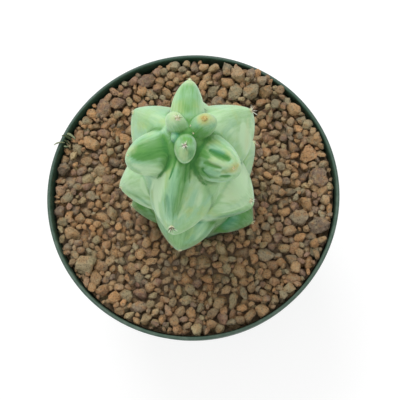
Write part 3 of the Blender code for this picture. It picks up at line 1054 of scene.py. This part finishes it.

# %% [markdown]
# ## Strokes on the tubercles
#
# Some marks belong to one tubercle: a green ridge where the bloom is rubbed off, a
# fold, a pale line. Each is a stroke, a curve through three places on the tubercle,
# given as aside and up. A point's distance from the curve tells how strongly the stroke
# marks it, and the stroke narrows to both ends. The kinds are "green" (bloom rubbed off,
# and on folds, creases and undersides also painted shade), "fresh" (young yellow-green),
# "pale" (thick bloom, and on flanks that turn from the light also painted light), "cream",
# "rust" and "blue". A stroke also raises the skin along its curve, or folds it in where
# its rise is below zero. Its width to each side and its rise are in millimetres.

# %% Strokes
Stroke = namedtuple("Stroke", "kind wide amount rise start middle end")
STROKES = {
    # the three small ones of the crown
    (5, 30): (
        ("rust", 2.8, 0.85, 0.1, (-0.16, 0.44), (0.08, 0.52), (0.34, 0.56)),
        ("cream", 2.4, 0.9, 0, (0.10, 0.60), (0.26, 0.66), (0.40, 0.64)),
        ("cream", 2.2, 0.8, 0, (-0.30, -0.40), (0.06, -0.06), (0.50, 0.20)),
        ("blue", 1.6, 0.9, 0, (0.40, 0.80), (0.10, 0.92), (-0.24, 0.90)),
        ("blue", 1.8, 0.8, 0, (-0.56, 0.06), (-0.62, -0.20), (-0.50, -0.50)),
        ("fresh", 2.0, 0.5, 0, (-0.60, 0.30), (-0.46, 0.58), (-0.16, 0.78)),
        ("green", 3.4, 0.45, 0, (-0.80, 0.40), (-0.72, 0.60), (-0.40, 0.84)),
    ),
    (5, 143): (
        ("cream", 2.6, 0.8, 0, (-0.40, 0.20), (-0.10, 0.30), (0.40, 0.30)),
        ("green", 1.6, 0.3, 0, (0.76, 0.46), (0.50, 0.80), (0.04, 0.96)),
        ("fresh", 1.8, 0.9, 0, (0.76, 0.46), (0.50, 0.80), (0.04, 0.96)),
    ),
    (5, 260): (
        ("cream", 2.4, 0.55, 0, (-0.26, -0.02), (-0.28, -0.38), (-0.14, -0.72)),
        ("green", 2.6, 0.45, 0, (0.26, -0.14), (0.42, -0.40), (0.40, -0.64)),
        ("blue", 2.4, 0.4, 0, (0.30, -0.20), (0.46, -0.44), (0.42, -0.64)),
        ("rust", 0.8, 0.2, 0, (0.04, -0.10), (0.08, -0.26), (0.10, -0.42)),
        ("green", 2.8, 0.7, 0, (-0.30, 0.74), (0.04, 0.62), (0.40, 0.60)),
        ("fresh", 2.2, 0.9, 0, (-0.30, 0.74), (0.04, 0.62), (0.40, 0.60)),
        ("pale", 1.5, 0.6, 0, (-0.60, -0.66), (0.0, -0.94), (0.60, -0.66)),
    ),
    # the fifth whorl's one at the far side: a broad green ridge and a blunt cream tip
    (4, 85): (
        ("green", 5.4, 0.85, 0, (-0.04, 0.58), (-0.02, 0.85), (0.0, 0.99)),
        ("fresh", 4.6, 1.0, 0, (-0.04, 0.56), (-0.02, 0.85), (0.0, 0.99)),
        ("cream", 2.2, 0.7, 0.1, (-0.40, 0.24), (-0.05, 0.44), (0.30, 0.30)),
    ),
    # its left one: a dark green lens between pale edges
    (4, 195): (
        ("green", 5.0, 0.8, -0.05, (-0.14, 0.52), (-0.06, 0.84), (-0.06, 0.99)),
        ("green", 4.6, 0.95, -0.1, (0.04, 0.50), (0.24, 0.82), (0.20, 0.97)),
        ("green", 5.2, 0.9, 0, (-0.20, 0.97), (0.15, 0.98), (0.50, 0.86)),
        ("pale", 2.2, 0.6, 0, (0.74, -0.14), (0.88, 0.0), (0.96, 0.05)),
        ("fresh", 2.0, 0.4, 0, (-0.24, 0.54), (-0.06, 0.72), (0.10, 0.80)),
        ("pale", 1.8, 0.15, 0.1, (-0.30, 0.40), (-0.55, 0.76), (-0.55, 0.83)),
        ("pale", 3.2, 0.5, 0, (0.50, 0.12), (0.80, 0.30), (0.94, 0.20)),
        ("pale", 2.6, 0.5, 0, (0.76, -0.40), (0.80, -0.24), (0.84, -0.10)),
        ("cream", 2.6, 0.6, 0, (-0.44, 0.30), (-0.34, 0.42), (-0.30, 0.54)),
    ),
    # its right one: folds that run to the areole, their green partly painted shade in the folds, with
    # cream edges and a rusty tip
    (4, 328): (
        ("green", 1.9, 1.0, -0.4, (-0.10, 0.97), (-0.08, 0.84), (0.0, 0.68)),
        ("green", 1.3, 0.9, -0.25, (-0.74, 0.14), (-0.64, 0.10), (-0.52, 0.04)),
        ("green", 1.3, 0.9, -0.2, (-0.60, 0.42), (-0.54, 0.40), (-0.49, 0.36)),
        ("green", 1.2, 0.8, -0.25, (-0.64, 0.74), (-0.56, 0.68), (-0.50, 0.59)),
        ("cream", 1.7, 0.6, 0.1, (-0.64, 0.34), (-0.46, 0.42), (-0.24, 0.46)),
        ("cream", 1.9, 0.5, 0.3, (-0.44, 0.84), (-0.36, 0.72), (-0.20, 0.50)),
        ("cream", 0.9, 0.3, 0.1, (-0.70, 0.52), (-0.58, 0.48), (-0.36, 0.36)),
        ("green", 3.0, 0.6, 0, (-0.80, 0.72), (-0.70, 0.80), (-0.40, 0.92)),
        ("cream", 1.1, 0.4, 0.25, (0.22, 0.86), (0.26, 0.66), (-0.12, 0.42)),
        ("pale", 1.0, 0.3, 0.15, (0.48, 0.72), (0.44, 0.46), (0.02, 0.28)),
        ("green", 3.0, 0.6, 0, (-0.06, 0.99), (-0.36, 0.92), (-0.84, 0.52)),
        # a dark groove where it meets its neighbour: painted shade
        ("green", 0.9, 0.9, -0.3, (-0.80, 0.55), (-0.92, 0.30), (-0.92, -0.10)),
        ("blue", 2.2, 1.0, 0, (0.06, 0.98), (0.12, 0.93), (0.14, 0.82)),
        ("blue", 2.0, 0.8, 0, (-0.86, 0.44), (-0.84, 0.34), (-0.76, 0.30)),
        ("green", 3.0, 0.6, 0, (-0.85, 0.50), (-0.95, 0.25), (-0.80, 0.0)),
        ("rust", 2.0, 0.7, 0.1, (-0.38, 0.32), (-0.20, 0.42), (0.06, 0.36)),
        ("cream", 2.8, 0.8, 0, (-0.30, 0.26), (-0.12, 0.30), (0.10, 0.28)),
        ("green", 1.6, 0.6, -0.1, (-0.54, 0.40), (-0.44, 0.40), (-0.34, 0.36)),
        ("green", 2.4, 0.4, 0, (-0.84, 0.44), (-0.76, 0.46), (-0.66, 0.44)),
    ),
    # the near one, under the crown: pleats that fan out below the youngest tubercle; the narrow green
    # strokes that fold the skin in are darkened as painted shade
    (3, 260): (
        ("green", 3.8, 0.68, 0, (0.14, 0.90), (0.20, 0.60), (0.06, 0.24)),
        ("green", 5.6, 0.7, 0, (0.20, 0.93), (0.24, 0.84), (0.26, 0.68)),
        ("green", 3.0, 0.62, -0.1, (-0.02, 0.50), (0.10, 0.38), (0.06, 0.22)),
        ("green", 3.6, 0.62, 0, (-0.44, 0.46), (-0.42, 0.34), (-0.34, 0.20)),
        ("green", 0.6, 0.4, -0.08, (-0.56, 0.40), (-0.54, 0.28), (-0.46, 0.16)),
        ("green", 0.6, 0.5, -0.08, (-0.34, 0.38), (-0.30, 0.28), (-0.24, 0.18)),
        ("green", 0.8, 0.5, -0.08, (0.42, 0.44), (0.42, 0.34), (0.30, 0.22)),
        ("green", 2.2, 0.32, 0, (0.44, 0.72), (0.52, 0.54), (0.46, 0.38)),
        ("fresh", 2.0, 0.5, 0, (0.20, 0.70), (0.22, 0.52), (0.12, 0.36)),
        ("blue", 3.2, 0.9, 0, (-0.16, 0.80), (-0.32, 0.54), (-0.36, 0.24)),
        ("green", 2.4, 0.2, 0, (-0.14, 0.82), (-0.32, 0.56), (-0.28, 0.30)),
        ("green", 5.5, 0.95, 0, (-0.44, 0.89), (-0.45, 0.86), (-0.42, 0.80)),
        ("pale", 2.4, 0.9, 0, (-0.96, 0.22), (-0.88, 0.42), (-0.74, 0.56)),
        ("pale", 3.6, 0.75, 0, (-0.56, 0.66), (-0.72, 0.50), (-0.78, 0.26)),
        ("pale", 3.2, 0.85, 0.04, (-0.80, 0.50), (-0.88, 0.20), (-0.78, -0.04)),
        ("pale", 3.2, 0.35, 0, (0.66, 0.64), (0.82, 0.46), (0.88, 0.20)),
        ("cream", 1.9, 0.28, 0.05, (0.46, 0.76), (0.62, 0.50), (0.40, 0.20)),
        ("cream", 1.8, 0.22, 0.03, (0.66, 0.68), (0.84, 0.38), (0.66, 0.10)),
        ("pale", 2.0, 0.12, 0.1, (-0.50, 0.06), (0.10, 0.17), (0.66, 0.26)),
        ("green", 3.4, 0.35, 0, (-0.50, 0.22), (-0.20, 0.20), (0.10, 0.22)),
        # dark crease lines towards the youngest tubercle: painted shade in the creases
        ("green", 1.2, 1.0, -0.5, (-0.22, 0.97), (-0.42, 0.84), (-0.80, 0.50)),
        ("green", 0.8, 0.7, -0.3, (-0.16, 0.96), (-0.24, 0.84), (-0.40, 0.66)),
        ("green", 0.8, 0.75, -0.1, (0.02, 0.94), (0.0, 0.84), (-0.06, 0.70)),
        ("green", 0.8, 1.0, -0.25, (0.22, 0.92), (0.28, 0.80), (0.36, 0.66)),
        ("green", 0.8, 0.8, -0.3, (0.34, 0.92), (0.42, 0.80), (0.54, 0.62)),
        ("green", 1.1, 0.9, -0.3, (0.40, 0.90), (0.58, 0.76), (0.88, 0.44)),
        ("green", 0.8, 0.4, -0.08, (0.30, 0.62), (0.34, 0.46), (0.26, 0.26)),
        ("green", 0.7, 0.5, -0.06, (0.12, 0.52), (0.12, 0.40), (0.04, 0.26)),
    ),
    # the wide pale faces to both sides
    (3, 30): (
        # On its flank that turns from the light, the pale and cream strokes are partly painted light.
        ("pale", 4.0, 0.3, 0, (-0.60, 0.50), (-0.75, 0.10), (-0.60, -0.30)),
        ("pale", 5.0, 0.8, 0, (-0.60, 0.20), (-0.84, 0.10), (-0.94, -0.20)),
        ("cream", 2.4, 0.6, 0, (-0.50, 0.06), (-0.80, 0.06), (-0.96, -0.04)),
    ),
    (3, 143): (("cream", 3.5, 0.25, 0, (0.10, 0.80), (0.10, 0.50), (0.20, 0.20)),),
    # the right one below the crown: a pale face, lifted at its right edge as painted light, that
    # turns green underneath as painted shade
    (2, 328): (
        ("pale", 3.2, 0.7, 0, (0.92, 0.28), (0.76, 0.40), (0.52, 0.52)),
        ("cream", 4.0, 0.3, 0, (-0.20, 0.90), (-0.40, 0.70), (-0.50, 0.40)),
        ("pale", 1.0, 0.3, 0.1, (-0.90, 0.16), (-0.70, 0.12), (-0.40, 0.17)),
        ("green", 8.0, 0.8, 0, (-0.90, -0.12), (-0.60, -0.34), (-0.10, -0.34)),
        ("green", 9.0, 0.6, 0, (-0.60, -0.66), (-0.10, -0.80), (0.50, -0.74)),
        ("pale", 5.0, 0.5, 0, (-0.60, 0.60), (0.10, 0.66), (0.66, 0.46)),
        ("blue", 3.6, 0.8, 0, (-0.94, -0.08), (-0.74, -0.16), (-0.60, -0.14)),
    ),
    # the left one below the crown: pale on top, with a green line from its areole
    (2, 195): (
        ("green", 2.2, 0.55, 0, (0.54, 0.10), (0.76, 0.20), (0.92, 0.04)),
        ("pale", 2.0, 0.6, 0.1, (0.30, 0.82), (0.50, 0.72), (0.80, 0.50)),
        ("pale", 4.0, 0.2, 0, (0.20, 0.90), (0.40, 0.70), (0.40, 0.30)),
    ),
    # the blue-green flank of the lowest one at the near side
    (1, 260): (
        ("pale", 4.0, 0.6, 0, (0.72, 0.66), (0.80, 0.50), (0.74, 0.20)),
        ("blue", 5.0, 1.0, 0, (0.60, 0.70), (0.76, 0.50), (0.74, 0.16)),
    ),
    # the tips of the lowest whorl that look out between the others
    (0, 328): (
        ("blue", 4.5, 1.0, 0, (-0.84, 0.30), (-0.66, 0.56), (-0.40, 0.70)),
        ("green", 4.0, 0.3, 0, (-0.30, 0.60), (-0.10, 0.70), (0.20, 0.70)),
    ),
    (0, 195): (("green", 3.0, 0.35, 0, (0.20, 0.60), (0.34, 0.58), (0.60, 0.52)),),
}
KINDS = ("green", "fresh", "pale", "cream", "rust", "blue")
STROKE_STEPS = 30


def stroke_line(stroke, whorl, rib):
    """Points along a stroke on its tubercle's skin."""
    start, middle, end = np.array((stroke.start, stroke.middle, stroke.end))
    share = np.linspace(0, 1, STROKE_STEPS)[:, None]
    pull = 2 * middle - (start + end) / 2
    flat = start * (1 - share) ** 2 + pull * 2 * share * (1 - share) + end * share ** 2
    out = np.sqrt(np.clip(1 - (flat ** 2).sum(1), 0, 1))
    return tubercle_points(whorl, rib, np.column_stack((out, flat)))


def stroke_weights(line, wide, points):
    """How strongly a stroke marks each point, from 1 on its line to 0 at its edge."""
    weights = np.zeros(len(points))
    box = ((points > line.min(0) - wide) & (points < line.max(0) + wide)).all(1)
    away = np.linalg.norm(points[box, None] - line[None], axis=2)
    narrow = np.sqrt(np.sin(math.pi * np.linspace(0.04, 0.96, STROKE_STEPS)))
    share = (away / (wide * narrow)).min(1)
    weights[box] = (1 - np.clip(share, 0, 1) ** 2) ** 2
    return weights


marks = {kind: np.zeros(len(skin)) for kind in KINDS}
raised = np.zeros(len(skin))
for number, rib, whorl in tubercles:
    for stroke in map(Stroke._make, STROKES.get((number, rib), ())):
        weights = stroke_weights(stroke_line(stroke, whorl, rib), stroke.wide * MM, skin)
        marks[stroke.kind] = np.maximum(marks[stroke.kind], weights * stroke.amount)
        raised += weights * stroke.rise * MM
skin += corners(cactus, "normal") * raised[:, None]
move_corners(cactus, skin)
print(sum(map(len, STROKES.values())), "strokes, skin raised from",
      round(raised.min() / MM, 2), "to", round(raised.max() / MM, 2), "mm")

# %% [markdown]
# ## Marks for the skin's colours
#
# The colours follow the shape. Bloom, the waxy powder, is thick and pale on the swollen
# faces, and thin in the creases, where the skin shows a deeper green. The same number also
# carries painted light: ridges are made paler as a painted highlight, and hollows and
# creases darker as painted shade. Growth near the crown is a fresher yellow-green. So each
# whorl has its own bloom, a few tubercles have more or less than their whorl, and hollows,
# ridges, the crown and the strokes change it from point to point. The lowest whorls get
# the least, which is partly painted shade, as they sit low under the others. The material
# mixes its colours from the numbers stored here.

# %% Marks
HOLLOW_ROUNDS = 60
CREASE_ROUNDS = 12
CROWN_HEIGHT = 68 * MM
# how many mm the skin is sunk where a mark is at its strongest, and what it does to bloom: a painted
# highlight on ridges, painted shade in hollows and creases
RIDGE_HIGHLIGHT = (-0.6, 0.3)
HOLLOW_SHADE = (0.8, -0.4)
CREASE_SHADE = (0.22, -0.85)
YOUNG_REACH = (5 * MM, 20 * MM)
YOUNG_BLOOM = 0.35
YOUNG_GREEN = 0.4
BUD_REACH = (1.5 * MM, 2.1 * MM)
BUD_BLOOM = -0.4
# The two lowest whorls get little bloom and so a darker green: partly painted shade, as they sit low
# under the others.
WHORL_BLOOM = (0.16, 0.34, 0.85, 0.76, 0.60, 0.38)
ODD_BLOOM = {(3, 260): 0.70, (4, 195): 0.60, (4, 328): 0.58, (0, 328): 0.12, (3, 143): 0.58,
             (2, 328): 0.95, (5, 30): 0.18, (5, 143): 0.5, (1, 30): 0.85, (1, 260): 0.36}


def sunk(rounds):
    """How many mm the skin lies inside its own average, after rounds of averaging."""
    return ((near.relax(skin, rounds) - skin) * corners(cactus, "normal")).sum(1) / MM


def change(depth, strongest, amount):
    """What a mark adds to the bloom, from nothing at no depth up to its full amount."""
    return amount * np.clip(depth / strongest, 0, 1)


hollow = sunk(HOLLOW_ROUNDS)
crease = sunk(CREASE_ROUNDS)
crown = np.array((STEM_X, STEM_Y, RIM_HEIGHT + CROWN_HEIGHT)) + np.array(LEAN)
young = 1 - smooth_step(np.linalg.norm(skin - crown, axis=1), *YOUNG_REACH)
own_bloom = np.array([ODD_BLOOM.get((number, rib), WHORL_BLOOM[number])
                      for number, rib, _ in tubercles])
bloom_and_painted_light = (shares * own_bloom[:, None]).sum(0) + marks["pale"] - marks["green"]
# Painted highlight on ridges, painted shade in hollows and creases.
bloom_and_painted_light += change(hollow, *RIDGE_HIGHLIGHT) + change(hollow, *HOLLOW_SHADE) + change(crease, *CREASE_SHADE)
bloom_and_painted_light += YOUNG_BLOOM * young * smooth_step(skin[:, 1], 0 * MM, 4 * MM)
print("hollow from", round(hollow.min(), 2), "to", round(hollow.max(), 2), "mm;",
      "crease from", round(crease.min(), 2), "to", round(crease.max(), 2), "mm")
near_bud = 1 - smooth_step(np.linalg.norm(skin - BUD_PLACE, axis=1), *BUD_REACH)
bloom_and_painted_light += BUD_BLOOM * near_bud
marks["blue"] = np.maximum(marks["blue"], near_bud)
paint(cactus, "bloom_and_painted_light", np.clip(bloom_and_painted_light, -0.5, 1.5))
paint(cactus, "fresh", np.clip(marks["fresh"] + YOUNG_GREEN * young, 0, 1))
for kind in ("cream", "rust", "blue"):
    paint(cactus, kind, marks[kind])
for name, column in zip(("out", "side", "up"), own_place.T):
    paint(cactus, "place_" + name, np.clip(column, -2, 2))

# %% [markdown]
# ## Skin finish
#
# The skin is leathery and covered in blue-green wax. The graph lays a deep leaf green
# first, or a fresh or blue one where the marks say so. Over it lies the bloom, which
# varies from yellow-green to blue, pales where it is thick, and is thinned by streaks
# that run along each tubercle to its tip. The bloom number also carries painted light,
# so its pale and green parts partly stand for light and shade. In the creases the green
# is darkest, partly for the bloom that is gone and partly as painted shade. Cream and rust
# lie on top where the strokes put them. A light sheen stands for the powder that catches
# light on round edges. It fades with the bloom, and so does the gloss, because both would
# turn the creases grey. A little light passes through the flesh.

# %% Skin material
DEEP_GREEN = (0.085, 0.255, 0.060, 1)
FRESH_GREEN = (0.13, 0.325, 0.075, 1)
BLOOM_GREEN = (0.26, 0.48, 0.205, 1)
YELLOW_BLOOM = (0.31, 0.48, 0.17, 1)
PALE_BLOOM = (0.44, 0.64, 0.375, 1)
BLUE_BLOOM = (0.24, 0.475, 0.265, 1)
CREAM = (0.47, 0.57, 0.29, 1)
RUST = (0.42, 0.37, 0.075, 1)
# painted shade colour for the creases
CREASE_SHADE_GREEN = (0.035, 0.18, 0.035, 1)
DEEP_BLUE = (0.065, 0.25, 0.125, 1)


def skin_finish():
    material, tree, shader = new_material("waxy skin", 0.5)
    point = place_in(tree)
    axes = {"X": "place_out", "Y": "place_side", "Z": "place_up"}
    place = add(tree, "CombineXYZ", {axis: attribute(tree, name) for axis, name in axes.items()})
    along = stretched(tree, place.outputs["Vector"], (0.7, 8, 4))
    streaks = grain(tree, along, 1.0, 4, 0.6)
    cloudy = grain(tree, point, 7 * MM, 4, 0.55)
    fine = grain(tree, point, 1.1 * MM, 4, 0.6)

    green = mixed(tree, attribute(tree, "fresh"), DEEP_GREEN, FRESH_GREEN)
    green = mixed(tree, attribute(tree, "blue"), green, DEEP_BLUE)
    # bloom, with a painted highlight on ridges and painted shade in hollows and creases
    thick = sums(tree, "ADD", attribute(tree, "bloom_and_painted_light"), sharpen(tree, streaks, 0.25, 0.75, -0.2, 0.2))
    thick = sums(tree, "ADD", thick, sharpen(tree, cloudy, 0.25, 0.75, -0.12, 0.12))
    blue = sums(tree, "MAXIMUM", attribute(tree, "blue"), sharpen(tree, cloudy, 0.42, 0.62))
    warm = sharpen(tree, grain(tree, stretched(tree, point, (1, 1, 0.6)), 5 * MM, 3), 0.5, 0.66)
    waxy = mixed(tree, blue, mixed(tree, warm, BLOOM_GREEN, YELLOW_BLOOM), BLUE_BLOOM)
    powder = mixed(tree, sharpen(tree, thick, 0.6, 1.35), waxy, PALE_BLOOM)
    colour = mixed(tree, sharpen(tree, thick, -0.05, 0.75), green, powder)
    # Painted shade: the darkest green in the creases.
    colour = mixed(tree, sharpen(tree, thick, -0.16, -0.55, 0, 0.75), colour, CREASE_SHADE_GREEN)
    uneven = sharpen(tree, fine, 0.3, 0.6, 0.5, 1.0)
    for kind, tint in (("cream", CREAM), ("rust", RUST)):
        colour = mixed(tree, sums(tree, "MULTIPLY", attribute(tree, kind), uneven), colour, tint)

    plug(tree, shader, {
        "Base Color": colour,
        "Normal": bump(tree, fine, 0.00006, bump(tree, streaks, 0.0002)),
        "Roughness": sharpen(tree, thick, 0.1, 0.9, 0.38, 0.62),
        "Specular IOR Level": sharpen(tree, thick, -0.3, 0.4, 0.15, 0.5),
        "Sheen Weight": sharpen(tree, thick, -0.3, 0.4, 0.1, 0.5),
        "Sheen Roughness": 0.3,
        "Sheen Tint": (0.9, 1.0, 0.88, 1),
        "Subsurface Weight": 0.1,
        "Subsurface Radius": (0.6, 1.0, 0.35),
        "Subsurface Scale": 2.0 * MM,
    })
    return material


cactus.data.shade_smooth()
finish_piece(cactus, skin_finish(), "cactus")

# %% [markdown]
# ## Where the areoles sit
#
# Each tubercle has one areole: a small woolly cushion with a ring of short spines. It
# sits at the tip, or a little above it on the younger ones, and a few have a place, a
# size and spines of their own. The formula gives the place, and the point of the skin
# nearest to it is looked up, so that the cushion is seated on the skin and not beside
# it. Two tufts more sit in the middle of the crown.

# %% Seats for the areoles
Areole = namedtuple("Areole", "side up size spines longest brown dark_every")
PLAIN_AREOLE = Areole(0.0, 0.05, 0.8, 4, 1.6, 0.15, 3)
CROWN_AREOLE = Areole(0, 0, 0.2, 0, 0, 0.5, 1)
OWN_AREOLES = {
    (5, 143): Areole(0.02, 0.60, 0.8, 8, 1.5, 0.0, 2),
    (5, 30): Areole(0.06, 0.50, 0.9, 0, 0.0, 1.0, 1),
    (5, 260): Areole(-0.16, 0.21, 0.55, 12, 1.9, 0.0, 3),
    (4, 328): Areole(-0.20, 0.42, 0.5, 0, 0.0, 0.8, 1),
    (4, 85): Areole(-0.05, 0.20, 0.65, 0, 0.0, 0.0, 1),
    (4, 195): Areole(-0.10, 0.30, 0.3, 0, 0.0, 0.0, 1),
    (3, 260): Areole(-0.07, 0.06, 0.8, 15, 2.2, 0.0, 2),
    (3, 143): Areole(0.28, -0.08, 0.7, 2, 1.2, 0.15, 2),
    (3, 30): Areole(-0.16, -0.17, 0.9, 10, 2.5, 0.0, 5),
    (2, 195): Areole(0.24, 0.05, 0.6, 0, 0.0, 0.1, 1),
    (2, 328): Areole(0.02, 0.18, 0.9, 6, 1.5, 0.0, 4),
    (1, 260): Areole(0.24, -0.09, 0.7, 2, 1.2, 0.1, 2),
}
CROWN_TUFTS = ((3.9, 2.9, 155.6), (4.7, 0.7, 155.5))


def seat(target, tree):
    """A frame on the skin nearest to a point, with Z out of the skin and X upwards."""
    spot, normal, _, _ = tree.find_nearest(Vector(target))
    upward = (Vector((0, 0, 1)) - normal * normal.z).normalized()
    frame_at = Matrix((upward, normal.cross(upward), normal)).transposed().to_4x4()
    frame_at.translation = spot
    return frame_at


skin_tree = BVHTree.FromObject(cactus, bpy.context.evaluated_depsgraph_get())
seats = []
for number, rib, whorl in tubercles:
    areole = OWN_AREOLES.get((number, rib), PLAIN_AREOLE)
    out = math.sqrt(1 - areole.side ** 2 - areole.up ** 2)
    target = tubercle_points(whorl, rib, np.array([[out, areole.side, areole.up]]))[0]
    seats.append((seat(target, skin_tree), areole))
for place in CROWN_TUFTS:
    seats.append((seat(Vector(place) * MM, skin_tree), CROWN_AREOLE))
print(len(seats), "areoles seated")

# %% [markdown]
# ## Wool and spines
#
# Wool is a low cushion with short stray hairs. Spines are stiff slim cones: the first
# stands up, and the others spread from the cushion, each leaning its own way. Both are
# plain meshes, because hair curves are lost in an export. Some spines are dark brown and
# the others pale. Each cushion stores how brown its felt has become, and the brownest
# have lost their hairs.

# %% Wool and spines
HAIRS = 60
HAIR_THICKNESS = 0.04 * MM
HAIR_SPREAD = 0.14 * MM
SPINE_THICKNESS = 0.13 * MM
FIRST_SPREAD = 10
SPINE_SPREAD = (38, 70)
CUSHION_SHAPE = (1.0, 0.85, 0.5, 1.0)
BALD_BROWN = 0.9
WOOL_SEED = 5


def cone(shape, start, end, thick, sides):
    """A slim cone from one point to another."""
    along = end - start
    turn = along.to_track_quat("Z", "Y").to_matrix().to_4x4()
    turn.translation = (start + end) / 2
    bmesh.ops.create_cone(shape, cap_ends=True, segments=sides, radius1=thick,
                          radius2=thick * 0.15, depth=along.length, matrix=turn)


def areole_cushion(shape, frame_at, areole):
    made = bmesh.ops.create_icosphere(shape, subdivisions=3, radius=areole.size * MM,
                                      matrix=frame_at @ Matrix.Diagonal(CUSHION_SHAPE))
    for corner in made["verts"]:
        corner[shape.verts.layers.float["brown"]] = areole.brown


def areole_wool(shape, frame_at, areole, rng):
    radius = areole.size * MM
    for _ in range(HAIRS):
        angle = rng.uniform(0, math.tau)
        out = math.sqrt(rng.random()) * 0.9
        root = Vector((out * math.cos(angle) * radius, out * math.sin(angle) * radius * 0.8,
                       0.40 * radius * (1 - out * out)))
        tip = root + Vector((math.cos(angle) * out, math.sin(angle) * out, 0.7)) * radius * 0.5
        tip += Vector((rng.gauss(0, 1), rng.gauss(0, 1), rng.gauss(0, 1))) * HAIR_SPREAD
        cone(shape, frame_at @ root, frame_at @ tip, HAIR_THICKNESS, 3)


def areole_spines(pale, dark, frame_at, areole, rng):
    start_angle = rng.uniform(0, math.tau)
    for number in range(areole.spines):
        angle = start_angle + math.tau * number / areole.spines + rng.uniform(-0.25, 0.25)
        spread = math.radians(rng.uniform(*SPINE_SPREAD) if number else FIRST_SPREAD)
        length = rng.uniform(0.6, 1.0) * areole.longest * MM
        direction = Vector((math.cos(angle) * math.sin(spread),
                            math.sin(angle) * math.sin(spread), math.cos(spread)))
        root = direction * 0.2 * MM
        shape = pale if number % areole.dark_every else dark
        tip = root + direction * length
        cone(shape, frame_at @ root, frame_at @ tip, SPINE_THICKNESS, 6)


wool_shape, pale_shape, dark_shape, cushion_shape = (bmesh.new() for _ in range(4))
cushion_shape.verts.layers.float.new("brown")
rng = random.Random(WOOL_SEED)
for frame_at, areole in seats:
    areole_cushion(cushion_shape, frame_at, areole)
    if areole.brown < BALD_BROWN:
        areole_wool(wool_shape, frame_at, areole, rng)
    areole_spines(pale_shape, dark_shape, frame_at, areole, rng)


def felt_finish():
    """Cream felt, and orange-brown felt on the areoles that have aged."""
    material, tree, shader = new_material("felt", 0.95)
    marks = sharpen(tree, grain(tree, place_in(tree), 0.45 * MM, 4), 0.35, 0.65)
    cream = mixed(tree, marks, (0.56, 0.56, 0.30, 1), (0.76, 0.78, 0.50, 1))
    brown = mixed(tree, marks, (0.38, 0.27, 0.06, 1), (0.62, 0.52, 0.20, 1))
    felt = mixed(tree, attribute(tree, "brown"), cream, brown)
    plug(tree, shader, {"Base Color": felt, "Normal": bump(tree, marks, 0.0002)})
    return material


down = plain_finish("down", (0.66, 0.65, 0.43, 1), (0.86, 0.87, 0.67, 1), 1 * MM, 0.9, 0.0001)
pale_spine = plain_finish("pale spine", (0.78, 0.74, 0.60, 1), (0.92, 0.91, 0.84, 1),
                          0.9 * MM, 0.5, 0.0001)
dark_spine = plain_finish("dark spine", (0.025, 0.012, 0.008, 1), (0.14, 0.065, 0.035, 1),
                          0.9 * MM, 0.45, 0.0001)
cushions = object_from_bmesh("areole_cushions", cushion_shape)
cushions.data.shade_smooth()
finish_piece(cushions, felt_finish(), "cactus")
finish_piece(object_from_bmesh("areole_wool", wool_shape), down, "cactus")
finish_piece(object_from_bmesh("pale_spines", pale_shape), pale_spine, "cactus")
finish_piece(object_from_bmesh("dark_spines", dark_shape), dark_spine, "cactus")
